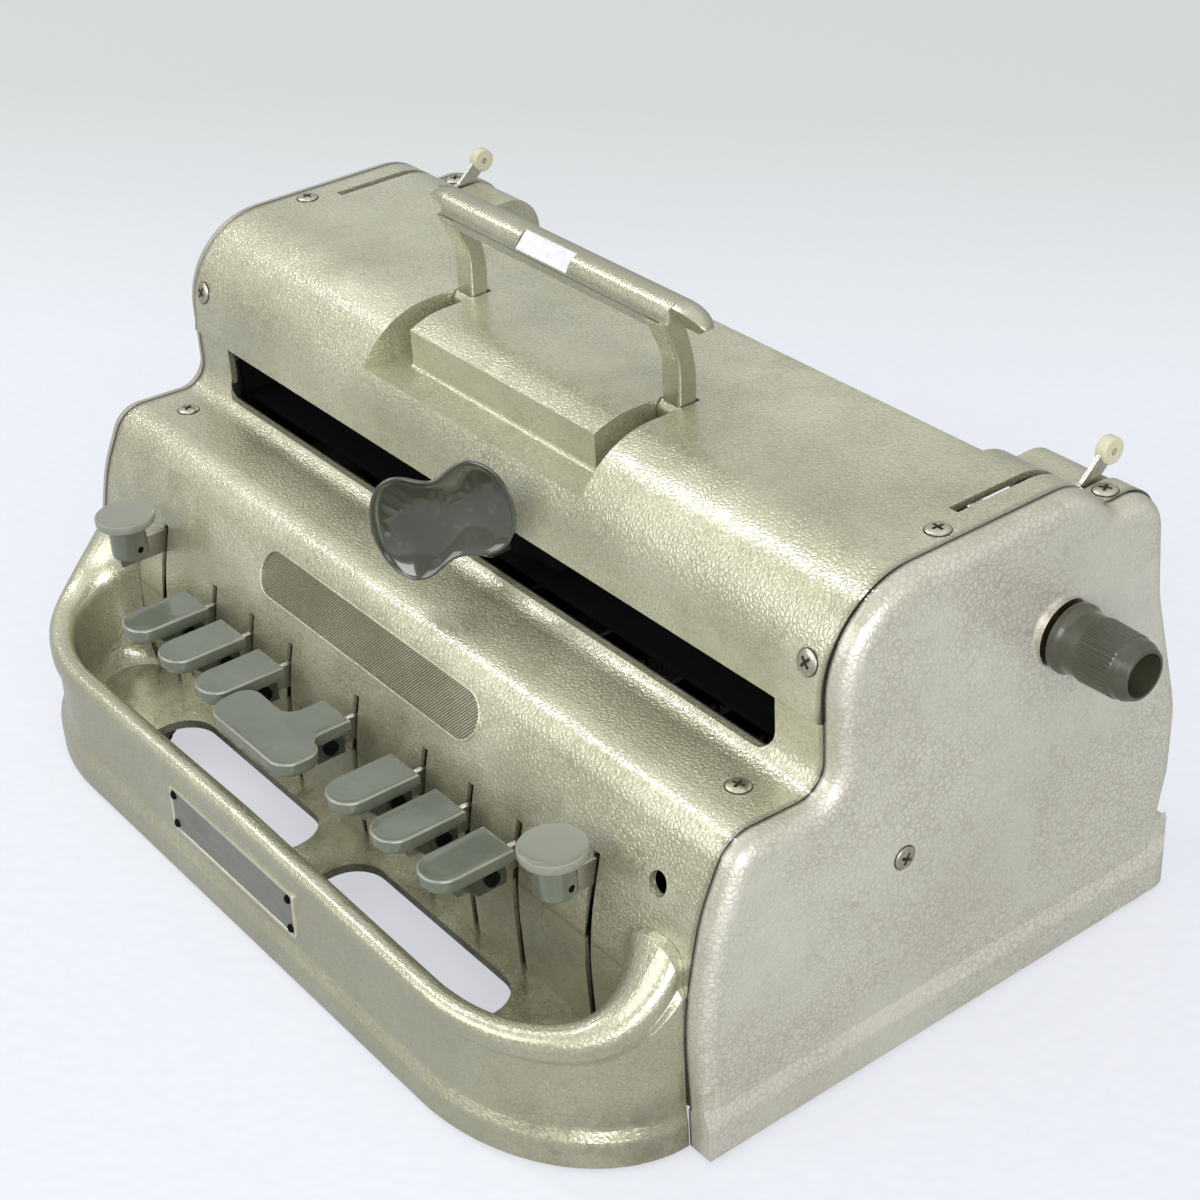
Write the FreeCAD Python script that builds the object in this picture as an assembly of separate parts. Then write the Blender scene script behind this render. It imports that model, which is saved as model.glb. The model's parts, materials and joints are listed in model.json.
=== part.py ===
import FreeCAD
import Part
import math
import os
from FreeCAD import Vector

# Manual braille writer: six dot keys, a space key, a line key and a backspace key in
# front, a cast tray for the hands, and a curved housing over the embossing carriage
# and the paper roller. Millimetres, +Z up, +X to the operator's right, +Y to the back.
# The origin is on the table, under the middle of the machine.

# ---------------------------------------------------------------- driving dimensions
SEAM_X = 160.7          # half width of the front, top and rear covers
SIDE_DEPTH = 6.6        # how far a side cover stands out past the seam
BEAD_OUT = 1.9          # how far the moulding at the foot stands out past a side cover
TRAY_FRONT_Y = -116.0   # front of the tray
BEAD_BACK_Y = 116.0     # back of the moulding at the foot
FOOT_OUT = 1.5          # rubber foot below the castings
DECK_Z = 14.8           # top of the tray floor
DECK_T = 3.0
SKIN = 2.2              # front, top and rear cover thickness
SIDE_WALL = 2.6         # side cover thickness
SEAM_GAP = 0.3          # gap along every seam between covers
FIT = 0.05              # radial running clearance of a shaft in a hole

PANEL_Y = -69.0         # front panel at the tray
SHELF_Z = 97.8          # flat shelf above the front panel
EAR_Y = -20.8           # upright ends of the front cover beside the carriage slot
JOINT_Z = 117.6         # joint of the front cover's ends and the top cover
SLOT_HALF_X = 141.5     # half length of the carriage slot
TOP_Z = 154.8           # flat top
TOP_BEND_R = 30.0       # bend at the front of the top cover
DIP_Y = 81.5            # dip behind the flat top
DIP_Z = 142.9
BACK_Y = 103.9          # back wall below the rear hump
BACK_OUT_Y = 114.7      # back wall where it bulges
BACK_OUT_Z = 65.0
LIP_Z = 104.0           # top of the low middle of the rear cover
EXIT_Y = 63.8           # rear edge of the top cover over the paper
CHEEK_X = 126.0         # inner side of the rear cover's raised ends
TOP_WING_X = 132.0      # where the top cover's rear edge steps back

TRAY_CORNER_X = 98.7    # where the tray's front turns into its corners
RIM_Z = 46.0            # tray rim at the middle
HUMP_Z = 65.5           # tray arms where they meet the panel
OPENING_IN_X = 8.8      # hand openings in the tray floor
OPENING_OUT_X = 95.0
OPENING_FRONT_Y = -100.5
OPENING_BACK_Y = -75.5
OPENING_R = 11.5

DOT_KEY_XS = (-84.7, -61.1, -37.7, 37.7, 61.1, 84.7)
SPACE_KEY_X = 0.8
ROUND_KEY_X = 118.4
KEY_TOP_Z = 64.6
ROUND_KEY_TOP_Z = 84.1
LEVER_T = 1.8
KEY_SLOT_W = 2.8
KEY_SLOT_TOP = 6.4      # slot above the top edge of its lever
KEY_SHAFT_Y = 42.0
KEY_SHAFT_Z = 40.0
KEY_SHAFT_R = 3.0

FRAME_X = 146.0         # outer face of each frame plate
FRAME_T = 2.5

ROLLER_Y = 60.5
ROLLER_Z = 113.9
ROLLER_R = 13.0
ROLLER_SHAFT_R = 4.0
KNOB_L = 26.0
KNOB_GAP = 1.3          # between a knob and the collar of its bush
COLLAR_T = 1.6
KNOB_R = 9.7            # over the ribs
KNOB_NECK_R = 9.3
KNOB_FLANGE_R = 10.5
KNOB_BORE_R = 6.5
KNOB_FLUTES = 40
PRESS_R = 5.0
PRESS_SHAFT_R = 2.0

CARRIAGE_X = 15.3       # carriage position at rest
CARRIAGE_W = 30.0
RAIL_R = 4.0
RAIL_Y = (-4.0, 22.0)
RAIL_Z = 106.0

HANDLE_Y = 21.5
HANDLE_Z = 151.0
HANDLE_ARM_X = 51.6     # middle of each arm
HANDLE_ARM_W = 8.4
HANDLE_KNUCKLE_R = 4.1
HANDLE_PIN_R = 2.4
GRIP_Y = 21.1           # middle of the grip's half-round
GRIP_Z = 181.6
GRIP_R = 6.3
GRIP_SKIRT = 2.45       # straight part of the grip below its half-round
GRIP_NOSE_L = 12.0      # tapered end of the grip, past the arm

RELEASE_X = 149.8
RELEASE_T = 1.4
RELEASE_SLOT_W = 3.4
MARGIN_RAIL_Y = 96.0
MARGIN_RAIL_Z = 88.0
MARGIN_RAIL_R = 3.0
MARGIN_STOP_X = 104.0

SCREW_HEAD_R = 3.2
SCREW_HEAD_H = 1.5
SCREW_R = 1.5

BASE_Z = FOOT_OUT
SIDE_X = SEAM_X + SIDE_DEPTH
KNOB_END_X = SIDE_X + COLLAR_T + KNOB_GAP + KNOB_L
FRAME_IN_X = FRAME_X - FRAME_T
X_AXIS = Vector(1, 0, 0)
Y_AXIS = Vector(0, 1, 0)
Z_AXIS = Vector(0, 0, 1)


# ------------------------------------------------------------------------- geometry
def plane_yz(x):
    return lambda a, b: Vector(x, a, b)


def plane_xy(z):
    return lambda a, b: Vector(a, b, z)


def plane_xz(y):
    return lambda a, b: Vector(a, y, b)


def outline(corners, plane):
    """Closed wire through (a, b, radius) corners, each rounded by a tangent arc."""
    stops = []
    for i, (a, b, radius) in enumerate(corners):
        here = Vector(a, b, 0)
        back = corners[i - 1]
        ahead = corners[(i + 1) % len(corners)]
        to_back = (Vector(back[0], back[1], 0) - here).normalize()
        to_ahead = (Vector(ahead[0], ahead[1], 0) - here).normalize()
        half = to_back.getAngle(to_ahead) / 2
        if radius <= 0 or half > math.pi / 2 - 0.001:
            stops.append((here, here, here))
            continue
        reach = radius / math.tan(half)
        middle = (to_back + to_ahead).normalize() * (radius / math.sin(half) - radius)
        stops.append((here + to_back * reach, here + middle, here + to_ahead * reach))
    edges = []
    for i, (first, middle, last) in enumerate(stops):
        if (last - first).Length > 1e-6:
            arc = Part.Arc(plane(first.x, first.y), plane(middle.x, middle.y), plane(last.x, last.y))
            edges.append(arc.toShape())
        start = stops[(i + 1) % len(stops)][0]
        if (start - last).Length > 1e-6:
            edges.append(Part.LineSegment(plane(last.x, last.y), plane(start.x, start.y)).toShape())
    return Part.Wire(edges)


def moved_line(p, q, distance):
    """The line p-q moved to its right by distance, as a point and a direction."""
    along = (q - p).normalize()
    return p + Vector(along.y, -along.x, 0) * distance, along


def inset(path, distance):
    """An open path of (a, b, radius) corners moved to its right by distance."""
    points = [Vector(a, b, 0) for a, b, _ in path]
    moved = []
    for i, here in enumerate(points):
        radius = path[i][2]
        if i == 0:
            place, _ = moved_line(here, points[1], distance)
        elif i == len(points) - 1:
            _, along = moved_line(points[i - 1], here, distance)
            place = here + Vector(along.y, -along.x, 0) * distance
        else:
            first, along_first = moved_line(points[i - 1], here, distance)
            second, along_second = moved_line(here, points[i + 1], distance)
            turn = along_first.cross(along_second).z
            step = (second - first).cross(along_second).z / turn
            place = first + along_first * step
            if radius > 0:
                radius = radius + distance if turn > 0 else radius - distance
        if i in (0, len(points) - 1):
            radius = 0
        moved.append((place.x, place.y, max(radius, 0)))
    return moved


def band(path, near, far):
    """Closed corners of the strip between two insets of a path."""
    return inset(path, near) + inset(path, far)[::-1]


def slab_x(corners, x0, x1):
    return Part.Face(outline(corners, plane_yz(x0))).extrude(Vector(x1 - x0, 0, 0))


def slab_y(corners, y0, y1):
    return Part.Face(outline(corners, plane_xz(y0))).extrude(Vector(0, y1 - y0, 0))


def slab_z(corners, z0, z1):
    return Part.Face(outline(corners, plane_xy(z0))).extrude(Vector(0, 0, z1 - z0))


def box(x0, x1, y0, y1, z0, z1):
    return Part.makeBox(x1 - x0, y1 - y0, z1 - z0, Vector(x0, y0, z0))


def rod(start, axis, radius, length):
    return Part.makeCylinder(radius, length, start, axis)


def rod_x(x0, x1, y, z, radius):
    return Part.makeCylinder(radius, x1 - x0, Vector(x0, y, z), X_AXIS)


def mirrored(shape):
    return shape.mirror(Vector(0, 0, 0), X_AXIS)


def both_sides(shape):
    return [shape, mirrored(shape)]


def joined(shapes):
    return shapes[0].multiFuse(list(shapes[1:])).removeSplitter()


def turned(shape, centre, axis, degrees):
    copy = shape.copy()
    copy.rotate(centre, axis, degrees)
    return copy


def pan_screw(place, out, length):
    """Cross-recessed screw: the head's seat is at place, the head stands along out."""
    head = Part.makeSphere(SCREW_HEAD_R * 1.35, place - out * (SCREW_HEAD_R * 1.35 - SCREW_HEAD_H), out)
    head = head.common(Part.makeCylinder(SCREW_HEAD_R, SCREW_HEAD_H * 2, place, out))
    shank = Part.makeCylinder(SCREW_R, length, place - out * length, out)
    screw = head.fuse(shank)
    side = out.cross(X_AXIS if abs(out.x) < 0.9 else Y_AXIS).normalize()
    for arm in (side, out.cross(side)):
        across = out.cross(arm)
        depth = 0.9
        corner = place + out * (SCREW_HEAD_H - depth) - arm * 1.9 - across * 0.35
        edges = [corner, corner + arm * 3.8, corner + arm * 3.8 + across * 0.7, corner + across * 0.7]
        cross = Part.Face(Part.makePolygon(edges + [corner])).extrude(out * 3)
        screw = screw.cut(cross)
    return screw


def screw_hole(place, out, length):
    return Part.makeCylinder(SCREW_R, length + 1, place - out * length, out)


# ------------------------------------------------------------------ housing sections
def front_path():
    return [
        (PANEL_Y, DECK_Z, 0),
        (PANEL_Y - 1.3, 48.0, 120),
        (PANEL_Y + 5.4, 78.5, 60),
        (PANEL_Y + 15.0, SHELF_Z + 0.4, 12),
        (EAR_Y, SHELF_Z - 0.8, 9),
        (EAR_Y, JOINT_Z, 0),
    ]


def top_path():
    return [
        (EAR_Y - 0.9, JOINT_Z + SEAM_GAP, 0),
        (EAR_Y - 0.9, TOP_Z, TOP_BEND_R),
        (DIP_Y - (TOP_Z - DIP_Z), TOP_Z, 20),
        (DIP_Y, DIP_Z, 6),
        (BACK_Y - 3.0, DIP_Z + 0.4, 13),
        (BACK_Y, LIP_Z + 25, 0),
    ]


def back_path():
    """The back wall, from the rear hump down to the tray floor."""
    return [
        (DIP_Y, DIP_Z, 0),
        (BACK_Y - 3.0, DIP_Z + 0.4, 13),
        (BACK_Y, LIP_Z + 4, 40),
        (BACK_OUT_Y, BACK_OUT_Z, 40),
        (BACK_OUT_Y - 0.4, 42.0, 20),
        (BACK_OUT_Y - 5.4, 19.0, 0),
    ]


def side_path():
    """The whole outline of a side cover, from the front foot over the top to the back."""
    front = [(PANEL_Y, BASE_Z, 0)] + front_path()[1:5]
    return front + [(EAR_Y, TOP_Z, TOP_BEND_R)] + top_path()[2:4] + back_path()[1:] + [
        (BACK_OUT_Y - 5.4, BASE_Z, 0)]


# --------------------------------------------------------------------- outer covers
REAR_FOOT_IN_Y = BACK_OUT_Y - 7.1


def side_moulding():
    """Foot of the right side cover in x and z: a bead outside, a ledge for the deck inside."""
    out_x = SIDE_X + BEAD_OUT
    return [(SEAM_X, BASE_Z, 0), (out_x, BASE_Z, 0), (out_x, 12.0, 4.5), (SIDE_X - 0.4, 17.5, 4.0),
            (SIDE_X - 0.4, 24.0, 0), (SIDE_X - SIDE_WALL, 24.0, 0), (SIDE_X - SIDE_WALL, DECK_Z, 0),
            (SEAM_X, DECK_Z, 0)]


def rear_moulding():
    """Foot of the back wall in y and z."""
    shoulder_y = BEAD_BACK_Y - BEAD_OUT - 0.4
    return [(REAR_FOOT_IN_Y, BASE_Z, 0), (BEAD_BACK_Y, BASE_Z, 0), (BEAD_BACK_Y, 12.0, 4.5),
            (shoulder_y, 17.5, 4.0), (shoulder_y, 24.0, 0), (REAR_FOOT_IN_Y, 24.0, 0)]


SCREW_SPOTS = [(145.3, -37.0), (154.0, -20.3), (154.4, 24.6), (156.0, 87.3)]


def on_slope(start, end, y):
    """Point at y on the flat between two corners of a path, and its normal."""
    run, rise = end[0] - start[0], end[1] - start[1]
    return start[1] + rise * (y - start[0]) / run, Vector(0, -rise, run).normalize()


def cover_screw_places():
    """Seat and direction of the four cover screws of the right side."""
    bend_y = EAR_Y - 0.9 + TOP_BEND_R
    bend_z = TOP_Z - TOP_BEND_R
    slope = math.atan2(133.4 - bend_z, SCREW_SPOTS[1][1] - bend_y)
    out = Vector(0, math.cos(slope), math.sin(slope))
    bend_seat = Vector(SCREW_SPOTS[1][0], bend_y, bend_z) + out * TOP_BEND_R
    shelf_z, shelf_out = on_slope(front_path()[3], front_path()[4], SCREW_SPOTS[0][1])
    dip_z, dip_out = on_slope(top_path()[3], top_path()[4], SCREW_SPOTS[3][1])
    return [
        (Vector(SCREW_SPOTS[0][0], SCREW_SPOTS[0][1], shelf_z), shelf_out),
        (bend_seat, out),
        (Vector(SCREW_SPOTS[2][0], SCREW_SPOTS[2][1], TOP_Z), Z_AXIS),
        (Vector(SCREW_SPOTS[3][0], SCREW_SPOTS[3][1], dip_z), dip_out),
    ]


COVER_SCREW_L = 5.2
SIDE_SCREW = Vector(SIDE_X, 2.4, 66.5)
SIDE_SCREW_L = 12.0
LIP_T = 2.0
TAB_HALF = 6.0            # half length of the screw tab under the shelf


def side_cover():
    """Right side cover: a shallow shell with a rounded shoulder and a fixing lip."""
    path = side_path()
    shell = slab_x(path, SEAM_X, SIDE_X)
    shoulder = []
    for edge in shell.Edges:
        at_face = min(v.X for v in edge.Vertexes) > SIDE_X - 0.01
        if at_face and edge.BoundBox.ZMax > BASE_Z + 0.1:
            shoulder.append(edge)
    shell = shell.makeFillet(SIDE_DEPTH - 0.9, shoulder)
    hollow = slab_x(inset(path, SIDE_WALL), SEAM_X - 1, SIDE_X - SIDE_WALL)
    inner = []
    for edge in hollow.Edges:
        at_face = min(v.X for v in edge.Vertexes) > SIDE_X - SIDE_WALL - 0.01
        if at_face and edge.BoundBox.ZMax > BASE_Z + SIDE_WALL + 0.1:
            inner.append(edge)
    hollow = hollow.makeFillet(SIDE_DEPTH - 0.9 - SIDE_WALL, inner)
    opening = box(SEAM_X - 1, SIDE_X - SIDE_WALL, PANEL_Y + 8, BACK_OUT_Y - 12, BASE_Z - 1, 30)
    shell = shell.cut(hollow).cut(opening)
    bead = slab_y(side_moulding(), PANEL_Y - 0.8, BEAD_BACK_Y)
    bead = bead.fuse(slab_x(rear_moulding(), SEAM_X, SIDE_X - 0.4))
    bead = bead.cut(corner_round(SIDE_X + BEAD_OUT, BEAD_BACK_Y, 9.0))
    shell = shell.fuse(bead)
    tab_front, tab_back = SCREW_SPOTS[0][1] - TAB_HALF, SCREW_SPOTS[0][1] + TAB_HALF
    tab_ends = [(y, on_slope(path[3], path[4], y)[0], 0) for y in (tab_front, tab_back)]
    wide = band(tab_ends[:1] + path[4:6] + [(30.0, TOP_Z, 0)], SKIN + 0.1, SKIN + 0.1 + LIP_T)
    narrow = band([(30.0, TOP_Z, 0)] + path[6:11], SKIN + 0.1, SKIN + 0.1 + LIP_T)
    lip = slab_x(wide, SCREW_SPOTS[1][0] - 5, SEAM_X + SIDE_WALL)
    lip = lip.fuse(slab_x(narrow, RELEASE_X + RELEASE_SLOT_W / 2 + 2.0, SEAM_X + SIDE_WALL))
    tab = slab_x(band(tab_ends, SKIN + 0.1, SKIN + 0.1 + LIP_T), FRAME_X - 6.5, SCREW_SPOTS[1][0])
    shell = joined([shell, lip, tab])
    for place, out in cover_screw_places():
        shell = shell.cut(screw_hole(place, out, COVER_SCREW_L))
    shell = shell.cut(rod_x(SEAM_X - 5, SIDE_X + 1, ROLLER_Y, ROLLER_Z, BUSH_SLEEVE_R))
    shell = shell.cut(screw_hole(SIDE_SCREW, X_AXIS, SIDE_SCREW_L))
    return shell


def corner_round(x, y, radius):
    """What a rounded vertical corner takes off at (x, y), both pointing outwards."""
    block = box(x - radius, x + 1, y - radius, y + 1, 0, 40)
    return block.cut(Part.makeCylinder(radius, 40, Vector(x - radius, y - radius, 0)))


PANEL_HOLE_X = 143.2
PANEL_HOLE_Z = 77.8
PANEL_HOLE_R = 3.5


def front_cover():
    width = SEAM_X - SEAM_GAP
    cover = slab_x(band(front_path(), 0, SKIN), -width, width)
    ear_cut = [(-SLOT_HALF_X, SHELF_Z + 1.8, 5), (SLOT_HALF_X, SHELF_Z + 1.8, 5),
               (SLOT_HALF_X, JOINT_Z + 9, 0), (-SLOT_HALF_X, JOINT_Z + 9, 0)]
    cover = cover.cut(slab_y(ear_cut, EAR_Y - 12, EAR_Y + SKIN + 1))
    front_y = PANEL_Y - 3
    back_y = PANEL_Y + 20
    for x in DOT_KEY_XS + (SPACE_KEY_X,):
        half = KEY_SLOT_W / 2
        cover = cover.cut(box(x - half, x + half, front_y, back_y, DECK_Z - 1, DOT_LEVER_TOP + KEY_SLOT_TOP))
    for x in (-ROUND_KEY_X, ROUND_KEY_X):
        half = KEY_SLOT_W / 2
        cover = cover.cut(box(x - half, x + half, front_y, back_y, DECK_Z - 1, ROUND_LEVER_TOP + 1.2))
    cover = cover.cut(rod(Vector(PANEL_HOLE_X, front_y, PANEL_HOLE_Z), Y_AXIS, PANEL_HOLE_R, 20))
    cover = cover.cut(name_recess())
    for sign in (-1, 1):
        place, out = cover_screw_places()[0]
        cover = cover.cut(screw_hole(Vector(sign * place.x, place.y, place.z), out, COVER_SCREW_L))
    return cover


RECESS_HALF_X = 59.0
RECESS_HALF_H = 7.4
RECESS_DEPTH = 0.9
RECESS_Z = 83.4


def name_recess():
    """Bare stadium-shaped recess, square to the sloping part of the front panel."""
    low = front_path()[2]
    high = front_path()[3]
    along = Vector(0, high[0] - low[0], high[1] - low[1]).normalize()
    share = (RECESS_Z - low[1]) / (high[1] - low[1])
    centre = Vector(0, low[0] + (high[0] - low[0]) * share, RECESS_Z)
    inward = X_AXIS.cross(along) * -1
    if inward.y < 0:
        inward = inward * -1

    def lift(a, b):
        return centre + X_AXIS * a + along * b - inward * 2

    r = RECESS_HALF_H - 0.05
    corners = [(-RECESS_HALF_X, -RECESS_HALF_H, r), (RECESS_HALF_X, -RECESS_HALF_H, r),
               (RECESS_HALF_X, RECESS_HALF_H, r), (-RECESS_HALF_X, RECESS_HALF_H, r)]
    return Part.Face(outline(corners, lift)).extrude(inward * (2 + RECESS_DEPTH))


# Recess for the folded handle: two curved grooves and a ledge for the grip.
LEDGE_Z = 139.5
LEDGE_FRONT_Y = -17.5
LEDGE_BACK_Y = -5.2
GROOVE_CLEAR = 0.5
GROOVE_BACK_Y = 26.5
POCKET_WALL = 2.0


def groove_corners(grow):
    """Side view of an arm groove, grown all round by the pocket's wall."""
    return [
        (LEDGE_BACK_Y - 14 - grow, LEDGE_Z - grow, 0),
        (LEDGE_BACK_Y + 6, LEDGE_Z - grow, 8),
        (HANDLE_Y - 6, HANDLE_Z - 6.6 - grow, 12),
        (GROOVE_BACK_Y + grow, HANDLE_Z - 6.6 - grow, 4),
        (GROOVE_BACK_Y + grow, TOP_Z + 20, 0),
        (LEDGE_BACK_Y - 14 - grow, TOP_Z + 20, 0),
    ]


def groove(sign, grow):
    half = HANDLE_ARM_W / 2 + GROOVE_CLEAR + grow
    x = sign * HANDLE_ARM_X
    return slab_x(groove_corners(grow), x - half, x + half)


def ledge(grow):
    half = HANDLE_ARM_X + HANDLE_ARM_W / 2 + GROOVE_CLEAR + grow
    corners = [(LEDGE_FRONT_Y - 8, LEDGE_Z - grow, 0), (LEDGE_BACK_Y + grow, LEDGE_Z - grow, 1.5),
               (LEDGE_BACK_Y + grow, TOP_Z + 20, 0), (LEDGE_FRONT_Y - 8, TOP_Z + 20, 0)]
    return slab_x(corners, -half, half)


def top_cover():
    width = SEAM_X - SEAM_GAP
    cover = slab_x(band(top_path(), 0, SKIN), -width, width)
    far_y = BACK_Y + 20
    low_z = LIP_Z - 10
    cover = cover.cut(box(-TOP_WING_X, TOP_WING_X, EXIT_Y, far_y, low_z, TOP_Z + 1))
    slot_out = RELEASE_X + RELEASE_SLOT_W / 2
    slot_in = RELEASE_X - RELEASE_SLOT_W / 2
    for side in both_sides(box(TOP_WING_X - 1, slot_out, DIP_Y - 1.5, far_y, low_z, TOP_Z + 1)):
        cover = cover.cut(side)
    for side in both_sides(box(slot_in, slot_out, 34.7, far_y, low_z, TOP_Z + 1)):
        cover = cover.cut(side)
    under_skin = inset(top_path()[:2] + [(EXIT_Y, TOP_Z, 0)], SKIN / 2)
    inside = slab_x(under_skin + [(under_skin[2][0], under_skin[0][1], 0)], -width, width)
    pocket = joined([ledge(POCKET_WALL), groove(-1, POCKET_WALL), groove(1, POCKET_WALL)])
    cover = cover.fuse(pocket.common(inside))
    cover = cover.cut(joined([ledge(0), groove(-1, 0), groove(1, 0)])).removeSplitter()
    for place, out in cover_screw_places()[1:]:
        for sign in (-1, 1):
            cover = cover.cut(screw_hole(Vector(sign * place.x, place.y, place.z), out, COVER_SCREW_L))
    for x in handle_pin_xs():
        cover = cover.cut(rod_x(x - PIN_REACH, x + PIN_REACH, HANDLE_Y, HANDLE_Z, HANDLE_PIN_R))
    return cover


PIN_REACH = HANDLE_ARM_W / 2 + GROOVE_CLEAR + POCKET_WALL


def handle_pin_xs():
    return (-HANDLE_ARM_X, HANDLE_ARM_X)


def rear_cover():
    width = SEAM_X - SEAM_GAP
    path = back_path()
    path[-1] = (path[-1][0], DECK_Z, 0)
    wall = slab_x(band(path, 0, SKIN), -width, width)
    # the ends carry the straps of the top cover, and the middle is low for the paper
    strap = box(RELEASE_X - RELEASE_SLOT_W / 2, width + 1, DIP_Y - 9, BACK_Y + 20, LIP_Z + 25, TOP_Z)
    for side in both_sides(strap):
        wall = wall.cut(side)
    wall = wall.cut(box(-CHEEK_X, CHEEK_X, DIP_Y - 9, BACK_Y + 20, LIP_Z, TOP_Z))
    cheek_path = back_path()[:3]
    cheek = [(DIP_Y, LIP_Z - 10, 0)] + cheek_path[:2] + [(BACK_Y, LIP_Z + 4, 0), (BACK_Y + 1.4, LIP_Z - 10, 0)]
    for side in both_sides(slab_x(cheek, CHEEK_X, CHEEK_X + SKIN)):
        wall = wall.fuse(side)
    curl = [(BACK_Y + 1.9, LIP_Z - 8, 0), (BACK_Y + 0.4, LIP_Z + 2, 6), (BACK_Y - 11, LIP_Z + 6, 0)]
    roll = slab_x(band(curl[::-1], -SKIN, 0), -CHEEK_X, CHEEK_X)
    wall = wall.fuse(roll).removeSplitter()
    slot = [(-MARGIN_STOP_X - 12, MARGIN_RAIL_Z - 4, 3), (MARGIN_STOP_X + 12, MARGIN_RAIL_Z - 4, 3),
            (MARGIN_STOP_X + 12, MARGIN_RAIL_Z + 4, 3), (-MARGIN_STOP_X - 12, MARGIN_RAIL_Z + 4, 3)]
    wall = wall.cut(slab_y(slot, BACK_Y - 5, BACK_Y + 15))
    bead = slab_x(rear_moulding(), -width, width)
    return joined([wall, bead])


# ----------------------------------------------------------------------------- tray
TRAY_END_Y = PANEL_Y - 1.1
CORNER_LONG = SEAM_X - TRAY_CORNER_X
CORNER_SHORT = TRAY_END_Y - TRAY_FRONT_Y
DECK_EDGE = 7.0         # edge of the deck plate, inside the foot of the tray wall
ARM_END_Z = 40.0        # above this the panel leans away from the tray arms
# turn round the corner in degrees; rim height; wall thickness; outer and inner rim
# radius; radius of the cove at the floor; how far the wall stands back from the foot at
# its bottom, under the rim and at the rim
TRAY_STATIONS = [
    (0, RIM_Z - 2.0, 9.0, 3.4, 3.6, 7.0, 2.4, 3.0, 1.2),
    (15, RIM_Z - 2.4, 9.1, 3.4, 3.6, 7.3, 2.4, 3.0, 1.2),
    (30, RIM_Z - 2.2, 9.5, 3.4, 3.8, 8.0, 2.4, 3.0, 1.2),
    (45, RIM_Z - 1.1, 10.6, 3.8, 4.3, 8.5, 2.3, 2.9, 1.2),
    (60, RIM_Z + 1.6, 13.2, 5.0, 5.6, 9.2, 2.0, 2.6, 1.3),
    (75, RIM_Z + 8.4, 18.4, 6.4, 8.4, 10.0, 1.3, 1.9, 1.6),
    (90, HUMP_Z, 24.5, 7.0, 11.0, 11.0, 0.6, 0.5, 2.5),
]


def tray_section(station, centre_x):
    """Closed section of the tray wall at one station round the tray."""
    turn, rim, width, round_out, round_in, cove, low_back, high_back, rim_back = station
    angle = math.radians(turn)
    foot = Vector(centre_x + CORNER_LONG * math.sin(angle), TRAY_END_Y - CORNER_SHORT * math.cos(angle), 0)
    inward = Vector(-math.sin(angle), math.cos(angle), 0)
    under_rim = rim - round_out
    floor = DECK_Z - 0.8
    corners = [
        (0, BASE_Z, 0), (0, 10.0, 2.5), (low_back, 14.0, 3), (high_back, under_rim - 5.6, 2),
        (rim_back, under_rim - 3.1, 1.5), (rim_back, rim, round_out), (width, rim, round_in),
        (width + 0.6, floor, cove), (width + cove + 2, floor, 0), (width + cove + 2, floor - 1.2, 0),
        (5.5, floor - 1.2, 0), (5.5, BASE_Z, 0)]
    return outline(corners, lambda s, z: foot + inward * s + Z_AXIS * z)


def arm_end():
    """End of the tray's right arm, carried back until it meets the sloping front panel."""
    end = Part.Face(tray_section(TRAY_STATIONS[-1], TRAY_CORNER_X)).extrude(Y_AXIS * 8)
    panel = inset(front_path()[:4], -0.1)
    behind = slab_x(panel + [(PANEL_Y + 40, SHELF_Z, 0), (PANEL_Y + 40, DECK_Z, 0)], 0, SEAM_X + 1)
    above = box(SEAM_X - 40, SEAM_X, TRAY_END_Y, PANEL_Y + 8, ARM_END_Z, SHELF_Z)
    return end.common(above).cut(behind)


def deck_plate():
    """Right half of the flat floor, from inside the tray wall to the back."""
    low = DECK_Z - DECK_T
    curve = Part.Ellipse(Vector(TRAY_CORNER_X, TRAY_END_Y, low), CORNER_LONG - DECK_EDGE, CORNER_SHORT - DECK_EDGE)
    quarter = Part.Arc(curve, -math.pi / 2, -0.02).toShape()
    start = quarter.valueAt(quarter.FirstParameter)
    end = quarter.valueAt(quarter.LastParameter)
    points = [end, Vector(SEAM_X, PANEL_Y + 6, low), Vector(SEAM_X, REAR_FOOT_IN_Y, low),
              Vector(0, REAR_FOOT_IN_Y, low),
              Vector(0, start.y, low), start]
    lines = [Part.LineSegment(p, q).toShape() for p, q in zip(points, points[1:])]
    return Part.Face(Part.Wire([quarter] + lines)).extrude(Z_AXIS * DECK_T)


def base_tray():
    """Cast base: tray wall with a rolled rim, floor with two hand openings, rear deck."""
    corner = Part.makeLoft([tray_section(station, TRAY_CORNER_X) for station in TRAY_STATIONS], True, False)
    middle = (0, RIM_Z) + TRAY_STATIONS[0][2:]
    front = Part.makeLoft([tray_section(middle, 0), tray_section(TRAY_STATIONS[0], TRAY_CORNER_X)], True, True)
    half = joined([corner, front, deck_plate(), arm_end()])
    opening = [(OPENING_IN_X, OPENING_FRONT_Y, OPENING_R), (OPENING_OUT_X, OPENING_FRONT_Y, OPENING_R),
               (OPENING_OUT_X, OPENING_BACK_Y, OPENING_R), (OPENING_IN_X, OPENING_BACK_Y, OPENING_R)]
    half = half.cut(slab_z(opening, DECK_Z - 8, DECK_Z + 12))
    for x, y in FOOT_SPOTS:
        half = half.fuse(rod(Vector(x, y, FOOT_TOP), Z_AXIS, FOOT_R + 2, DECK_Z - 1 - FOOT_TOP))
    return joined(both_sides(half) + deck_posts())


FOOT_R = 7.5
FOOT_TOP = 4.0
FOOT_SPOTS = [(112.0, -86.0), (138.0, 88.0)]


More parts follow.
